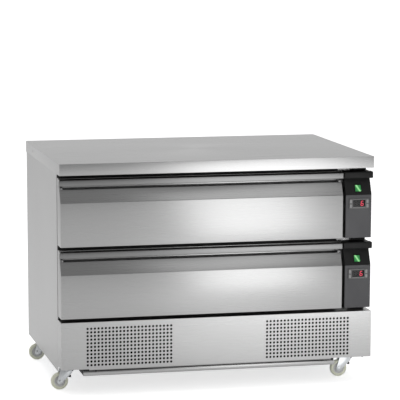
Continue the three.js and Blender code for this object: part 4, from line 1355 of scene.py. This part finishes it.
def buildInnerPan(row):
    pan = fromNode(row + "_drawer_core", row + "InnerPan")
    backwards = facing("+y")
    press(pan, lambda face: backwards(face) and face.center.y > innerPan["plugFace"] * mm,
          innerPan["panel"], (0, -innerPan["recess"], 0), innerPan["slope"])
    soften(pan, innerPan["edge"], 3, 40)
    finish(pan, row + "_drawer", "inner_pan", finishes["pan"], row + "_drawer_core")


gasketGroove = {"rib": 3.2, "deep": 2.2, "slope": 1.4}


# Two ribs with a groove between them, on the side that meets the cabinet
def buildGasket(row):
    seal = fromNode(row + "_gasket", row + "Gasket")
    press(seal, facing("+y"), gasketGroove["rib"], (0, -gasketGroove["deep"], 0), gasketGroove["slope"])
    soften(seal, 0.8, 2, 50)
    finish(seal, row + "_drawer", "gasket_rubber", finishes["gasket"], row + "_gasket")


# Black strips in the gaps between the fronts: painted shade for the dark of the narrow gaps
gapShades = {"x": (-575, 479), "y": (-326.2, -324.8), "bands": ((271.5, 297), (517, 560), (780, 806.8))}


def buildGapShades():
    strips = [bar("gapShade", gapShades["x"], gapShades["y"], band) for band in gapShades["bands"]]
    for strip in strips:
        soften(strip, 0.5)
    piece = together("gapShadeStrips", *strips)
    finish(piece, "cabinet", "gasket_rubber", finishes["rubber"])


for row, floor in floors.items():
    buildLiner(row, floor)
    buildBin(row, floor)
    buildSlides(row, floor)
    buildInnerPan(row)
    buildGasket(row)
buildGapShades()
print("drawers' insides ready")

# Fans, coils and compressors


def aboutY(piece, degrees, centre=(0, 0, 0)):
    piece.rotation_euler = (0, math.radians(degrees), 0)
    piece.location = Vector(centre) * mm
    return settle(piece)


# Blades are broad sickles, with a half chord at the root and at the tip. They are set at a pitch and twisted.
fan = {
    "blades": 4, "root": 0.24, "hub": 0.32, "rootHalf": 0.2, "tipHalf": 0.42,      # shares of the radius
    "bisectAt": (0.5, 0.75), "pitch": 20, "twist": -8, "thick": 1.5, "depth": 13,
}


def fanModel(name, radius):
    hub = radius * fan["hub"]
    back = fan["depth"]
    profile = [(0, 0.5), (hub * 0.5, 0.6), (hub * 0.86, 1.6), (hub, 4), (hub, back - 0.4),
               (hub - 1.5, back - 0.1), (0, back - 0.1)]
    parts = [turned("fanHub", profile, (0, 0, 0), "y", 32)]
    root = radius * fan["root"]
    tips = [math.asin(fan["tipHalf"]) * (i / 4 - 1) for i in range(9)]
    outline = [(radius * fan["rootHalf"], 0, root)]
    outline += [(-radius * math.sin(a), 0, radius * math.cos(a)) for a in tips]
    outline += [(-radius * 0.3, 0, root * 1.8), (-radius * fan["rootHalf"], 0, root)]
    blade = drawSolid("fanBlade", outline, (0, fan["thick"], 0))
    for share in fan["bisectAt"]:
        editAll(blade)
        bpy.ops.mesh.bisect(plane_co=(0, 0, radius * share * mm), plane_no=(0, 0, 1))
    leaveEdit()
    modify(blade, "SIMPLE_DEFORM", deform_method="TWIST", deform_axis="Z", angle=math.radians(fan["twist"]))
    soften(blade, 0.4, 2, 40)
    blade.rotation_euler = (0, 0, math.radians(fan["pitch"]))
    blade.location = (0, back / 2 * mm, 0)
    settle(blade)
    for i in range(fan["blades"]):
        parts.append(aboutY(twin(blade, "fanBlade", (0, 0, 0)), 360 * i / fan["blades"]))
    discard(blade)
    return smooth(together(name, *parts))


def finStack(name, x, y, z, count, thickness):
    fin = bar(name, (x[0], x[0] + thickness), y, z)
    pitch = (x[1] - x[0] - thickness) / (count - 1)
    return repeat(fin, count, (pitch * mm, 0, 0))


def wireRing(name, centre, radius, thick, sides=48):
    bpy.ops.mesh.primitive_torus_add(
        major_radius=radius * mm, minor_radius=thick * mm, major_segments=sides, minor_segments=8,
        location=Vector(centre) * mm, rotation=(math.pi / 2, 0, 0))
    bpy.context.object.name = name
    return settle(bpy.context.object)


# Straight tubes through the fins, joined from level to level by return bends at alternate ends
def tubeCoil(name, x, rows, levels, radius):
    parts = []
    rise = (levels[1] - levels[0]) / 2
    for y in rows:
        for level in levels:
            parts.append(pin("tube", (sum(x) / 2, y, level), radius, x[1] - x[0], "x", 12))
        for i, (low, high) in enumerate(zip(levels, levels[1:])):
            end, way = (x[0], -1) if i % 2 else (x[1], 1)
            turn = wireRing("returnBend", (end, y, (low + high) / 2), rise, radius, 24)
            editAll(turn)
            bpy.ops.mesh.bisect(plane_co=(end * mm, 0, 0), plane_no=(way, 0, 0), clear_inner=True)
            leaveEdit()
            parts.append(turn)
    return smooth(together(name, *parts))


guard = {"wire": 1.1, "rings": (0.3, 0.52, 0.74, 0.98), "spokes": 3, "start": 30, "eye": 3, "eyeReach": 2}


# Wire guard: rings on crossing wires, with an eye for a screw at each end of a wire
def fanGuard(name, centre, radius):
    parts = [wireRing("guardRing", centre, radius * share, guard["wire"]) for share in guard["rings"]]
    x, y, z = centre
    angles = [180 * i / guard["spokes"] + guard["start"] for i in range(guard["spokes"])]
    for angle in angles:
        spoke = pin("guardSpoke", (0, 0, 0), guard["wire"], 2 * radius, "x", 8)
        parts.append(aboutY(spoke, angle, (x, y + 2 * guard["wire"] - 0.2, z)))
    for angle in map(math.radians, angles):
        for reach in (-radius - guard["eyeReach"], radius + guard["eyeReach"]):
            place = (x + reach * math.cos(angle), y + 2, z - reach * math.sin(angle))
            parts.append(wireRing("guardEye", place, guard["eye"], guard["wire"], 16))
    return smooth(together(name, *parts))


cradle = {"wide": 12, "thick": 3, "clear": 6, "motor": 17, "motorLength": 16}


# Legs, cross strut and motor that hold a fan behind a plate
def fanCradle(centre, radius):
    x, plate, z = centre
    strut = plate + fan["depth"] + cradle["motorLength"]
    reach = radius + cradle["clear"]
    half = cradle["wide"] / 2
    parts = []
    for side in (-1, 1):
        ends = sorted((z + side * reach, z + side * (reach + cradle["thick"])))
        parts.append(bar("cradleLeg", span(x, half), (plate - 0.5, strut + cradle["thick"]), ends))
    parts.append(bar("cradleStrut", span(x, half), (strut, strut + cradle["thick"]), span(z, reach)))
    for part in parts:
        soften(part, 0.6)
    motor, start, end = cradle["motor"], fan["depth"] + 0.3, fan["depth"] + cradle["motorLength"] + 0.5
    profile = [(0, start), (5, start), (5, start + 1.5), (motor - 2, start + 1.5), (motor, start + 3.5),
               (motor, end - 5), (motor - 1.2, end - 4.6), (motor - 1.2, end - 3.8), (motor, end - 3.4),
               (motor, end), (0, end)]
    parts.append(turned("fanMotor", profile, (x, plate, z), "y", 28))
    return parts


evaporator = {
    "cover": {"x": (-525.7, 428.7), "y": (295.7, 297.7), "rise": (32.3, 211.7)},
    "fan": (239, 297.7, 122), "radius": 56, "clear": 6,
    "ring": [(-0.2, -3), (1, -3.4), (2, -2.4), (1.6, 0), (-0.2, 0), (-0.2, -3)],    # out from the opening
    "coil": {"x": (-424, 32), "y": (299.5, 341), "rise": (38, 206), "fins": 77, "fin": 0.6},
    "tubes": {"x": (-428, 36), "rows": (310, 331), "rises": (53, 81, 109, 137, 165, 193), "radius": 4.2},
    "screws": (-505, -190, 110, 408), "screwRises": (44, 200),
    "slots": {"count": 14, "first": -470, "pitch": 30, "half": (9, 2.4), "rises": (62, 82, 102)},
}


def buildEvaporator(row, floor):
    plate = evaporator["cover"]
    x, y, rise = evaporator["fan"]
    centre = (x, y, floor + rise)
    face = plate["y"][0]
    opening = evaporator["radius"] + evaporator["clear"]
    cover = bar("evaporatorCover", plate["x"], plate["y"], shifted(floor, plate["rise"]))
    carve(cover, pin("fanOpening", centre, opening, 20, "y", 64))
    slots = evaporator["slots"]
    slot = pad("airSlot", span(0, slots["half"][0]), (-10, 10), span(0, slots["half"][1]), 2.2, "y", 0.05)
    cutters = [twin(slot, "airSlot", Vector((slots["first"] + i * slots["pitch"], y, floor + level)) * mm)
               for i in range(slots["count"]) for level in slots["rises"]]
    discard(slot)
    carve(cover, together("airSlots", *cutters))
    soften(cover, 0.3, 2, 60)
    profile = [(opening + out, along) for out, along in evaporator["ring"]]
    ring = turned("fanRing", profile, (x, face, floor + rise), "y", 64)
    coil = evaporator["coil"]
    fins = finStack("evaporatorFins", coil["x"], coil["y"], shifted(floor, coil["rise"]),
                    coil["fins"], coil["fin"])
    places = [(at, face, floor + level) for at in evaporator["screws"] for level in evaporator["screwRises"]]
    heads = screws("coverScrew", places, "y", -1)
    stand = fanCradle(centre, evaporator["radius"])
    piece = smooth(together(row + "Evaporator", cover, ring, fins, *stand, *heads))
    finish(piece, "cabinet", "fin_aluminium", finishes["aluminium"], row + "_evaporator")
    tubes = evaporator["tubes"]
    coilTubes = tubeCoil(row + "EvaporatorTubes", tubes["x"], tubes["rows"],
                         shifted(floor, tubes["rises"]), tubes["radius"])
    finish(coilTubes, "cabinet", "fin_aluminium", finishes["copper"])
    screen = fanGuard(row + "EvaporatorGuard", (x, face - 6, floor + rise), opening - 1)
    finish(screen, "cabinet", "zinc_plate", finishes["zinc"])
    rotor = twin(evaporatorRotor, row + "EvaporatorFan", Vector(centre) * mm)
    finish(rotor, row + "_evaporator_fan", "fan_plastic", finishes["fan"], row + "_evaporator_fan")


condenser = {
    "starts": {"left": -467, "right": 225}, "length": 260, "y": (-308, -266), "z": (97.3, 255.3),
    "radius": 66, "clear": 6, "fins": 66, "fin": 0.5, "inset": 14,
    "tubes": {"rows": (-300, -287, -274), "z": (108, 128.6, 149.2, 169.8, 190.4, 211, 231.6), "radius": 4},
    "shroud": (-266, -265), "sheet": 1, "ringDepth": 9,
    "ring": [(-0.3, 0), (-0.3, 9), (1.4, 9), (1.4, 1.5), (3, 0), (-0.3, 0)],    # out from the opening
    "baffles": {"left": (-491, -159), "right": (183, 515)}, "baffle": {"y": (-311, -310), "z": (97.6, 266)},
}


def buildCondenser(side):
    start = condenser["starts"][side]
    end = start + condenser["length"]
    low, high = condenser["z"]
    plate = condenser["shroud"]
    centre = ((start + end) / 2, plate[1], (low + high) / 2)
    opening = condenser["radius"] + condenser["clear"]
    shroud = bar("shroud", (start, end), plate, (low, high))
    carve(shroud, pin("shroudOpening", centre, opening, 20, "y", 64))
    walls = bar("shroudWalls", (start, end), (condenser["y"][0], plate[1]), (low, high))
    removeFaces(walls, facing("+y", "-y"))
    roundCorners(walls, 2, "y", 3)
    thicken(walls, condenser["sheet"])
    ring = turned("shroudRing", [(opening + out, along) for out, along in condenser["ring"]], centre, "y", 64)
    inset = condenser["inset"]
    fins = finStack("condenserFins", (start + inset, end - inset), condenser["y"], (low + 2, high - 2),
                    condenser["fins"], condenser["fin"])
    baffle = condenser["baffle"]
    # The black baffles are wider than the coil: partly an air seal, partly painted shade that closes off the
    # bay behind the grille
    seal = bar("airAndShadeBaffle", condenser["baffles"][side], baffle["y"], baffle["z"])
    carve(seal, bar("coilMouth", (start + 3, end - 3), span(baffle["y"][0], 5), (low + 3, high - 3)))
    piece = smooth(together(side + "Condenser", shroud, walls, ring, fins, seal))
    # The coil and its shroud are black: a black coating, and painted shade for the dark inside of the base
    finish(piece, "cabinet", "fin_aluminium", finishes["coatedFinAndShade"], side + "_condenser")
    mount = smooth(together(side + "FanMount", *fanCradle(centre, condenser["radius"])))
    finish(mount, "cabinet", "fin_aluminium", finishes["darkSteel"])
    tubes = condenser["tubes"]
    reach = (start + inset - 1, end - inset + 1)
    coil = tubeCoil(side + "CondenserTubes", reach, tubes["rows"], tubes["z"], tubes["radius"])
    finish(coil, "cabinet", "fin_aluminium", finishes["coatedFinAndShade"])
    before = (centre[0], plate[1] + condenser["ringDepth"] + 6.5, centre[2])
    screen = fanGuard(side + "CondenserGuard", before, opening - 3)
    finish(screen, "cabinet", "zinc_plate", finishes["zinc"])
    rotor = twin(condenserRotor, side + "CondenserFan", Vector(centre) * mm)
    finish(rotor, side + "_condenser_fan", "fan_plastic", finishes["fan"], side + "_condenser_fan")


compressor = {
    "places": {"left": (-337, 70), "right": (355, 70)}, "bottom": 97.3,
    "can": [(0, 14), (46, 14), (55, 17), (60.5, 24), (61.6, 32), (61.6, 68), (62, 68.5), (62, 72.5),
            (61.6, 73), (61.6, 98), (59.5, 108), (53, 118), (42, 125.5), (26, 130), (0, 131)],
    "plate": {"half": 62, "z": (8, 11), "corner": 16}, "feet": 49,
    "foot": [(0, 0), (9, 0), (10, 1.5), (8.2, 4), (10, 6.5), (9, 8), (0, 8)],
    "box": ((50, 74), (-22, 22), (52, 96)),
    "pipes": {"suction": [(-30, -50, 90), (-34, -70, 92), (-36, -78, 104), (-36, -78, 130)],
              "discharge": [(28, -52, 80), (32, -72, 82), (34, -80, 94), (34, -80, 122)],
              "charging": [(-50, 30, 84), (-70, 36, 86), (-76, 38, 96), (-76, 38, 118)]},
    "pipe": {"suction": 4.8, "discharge": 3.2, "charging": 3.2},
    "bolt": {"rise": 13, "radius": 5, "height": 5},
}


# A bent pipe along a smooth curve, made a mesh
def pipe(name, points, radius):
    curve = bpy.data.curves.new(name, "CURVE")
    curve.dimensions = "3D"
    curve.bevel_depth = radius * mm
    curve.bevel_resolution = 2
    curve.resolution_u = 5
    curve.use_fill_caps = True
    line = curve.splines.new("NURBS")
    line.points.add(len(points) - 1)
    for knot, point in zip(line.points, metres(points)):
        knot.co = (*point, 1)
    line.order_u = 3
    line.use_endpoint_u = True
    piece = bpy.data.objects.new(name, curve)
    bpy.context.scene.collection.objects.link(piece)
    activate(piece)
    bpy.ops.object.convert(target="MESH")
    return smooth(bpy.context.object)


def buildCompressor(side):
    x, y = compressor["places"][side]
    bottom = compressor["bottom"]
    can = turned("can", compressor["can"], (x, y, bottom), "z", 56)
    plate, bolt = compressor["plate"], compressor["bolt"]
    half = plate["half"]
    foot = pad("compressorPlate", span(x, half), span(y, half), shifted(bottom, plate["z"]), plate["corner"],
               "z", 0.6)
    parts = [smooth(can, 50), foot]
    corners = [(x + i * compressor["feet"], y + j * compressor["feet"]) for i in (-1, 1) for j in (-1, 1)]
    for u, v in corners:
        head = pin("footBolt", (u, v, bottom + bolt["rise"]), bolt["radius"], bolt["height"], "z", 6)
        parts.append(soften(head, 0.5))
    wide, deep, tall = compressor["box"]
    parts.append(pad("terminalBox", shifted(x, wide), shifted(y, deep), shifted(bottom, tall), 6, "x", 1.5))
    piece = smooth(together(side + "Compressor", *parts))
    finish(piece, "cabinet", "compressor_enamel", finishes["enamel"], side + "_compressor")
    feet = [turned("foot", compressor["foot"], (u, v, bottom), "z", 20) for u, v in corners]
    finish(smooth(together(side + "CompressorFeet", *feet)), "cabinet", "gasket_rubber", finishes["rubber"])
    stubs = [pipe(label, [(x + a, y + b, bottom + c) for a, b, c in points], compressor["pipe"][label])
             for label, points in compressor["pipes"].items()]
    finish(together(side + "PipeStubs", *stubs), "cabinet", "fin_aluminium", finishes["copper"])


evaporatorRotor = fanModel("evaporatorRotor", evaporator["radius"])
condenserRotor = fanModel("condenserRotor", condenser["radius"])
for row, floor in floors.items():
    buildEvaporator(row, floor)
for side in condenser["starts"]:
    buildCondenser(side)
    buildCompressor(side)
discard(evaporatorRotor, condenserRotor)

bayRoof = {"x": (-575, 587), "y": (-324, 396), "z": (269.6, 270.6)}


# The pan under everything, and the sheet that closes the foam off above the machinery
def buildChassis():
    pan = soften(fromNode("chassis", "chassisPan"), 0.7, 2, 40)
    finish(pan, "cabinet", "zinc_plate", finishes["zinc"], "chassis")
    roof = pad("bayRoof", bayRoof["x"], bayRoof["y"], bayRoof["z"], 3, "z", 0.3)
    finish(roof, "cabinet", "sheet_steel", finishes["sideSteel"])


buildChassis()
print("machinery ready")

# The finishes of the CAD nodes: most have detailed pieces in their place, and two stay as they are
nodeFinishes = {
    "worktop": "worktopSteel", "worktop_core": "board", "casing": "sideSteel", "insulation": "foam",
    "base_front_panel": "baseSteel", "base_surround": "baseSteel", "chassis": "zinc",
    # The tray runners are black as painted shade under the cabinet
    "condensate_tray": "baseSteel", "tray_runners": "darkSteel", "cable_gland": "rubber",
}
drawerFinishes = {
    "liner": "linerSteel", "drawer_shell": "drawerSteel", "drawer_core": "pan", "gasket": "gasket",
    "bin": "linerSteel", "slide_left": "zinc", "slide_right": "zinc", "evaporator": "aluminium",
    "evaporator_fan": "fan", "pod_housing": "pod", "fascia": "fascia", "rocker_switch": "green",
    "controller": "bezel", "key_1": "key", "key_2": "key", "key_3": "key", "key_4": "key",
}
coolingFinishes = {"condenser": "coatedFinAndShade", "condenser_fan": "fan", "compressor": "enamel"}
castorFinishes = {"castor_fork": "zinc", "castor_wheel": "tyre", "brake_pedal": "pod"}
for places, looks in ((floors, drawerFinishes), (condenser["starts"], coolingFinishes)):
    nodeFinishes.update({f"{place}_{part}": look for place in places for part, look in looks.items()})
for place in castor["places"]:
    nodeFinishes.update({f"{part}_{place}": look for part, look in castorFinishes.items()})

for name, node in nodes.items():
    node.data.materials.clear()
    node.data.materials.append(finishes[nodeFinishes[name]])
print("CAD nodes finished:", len(nodes))

deselect()
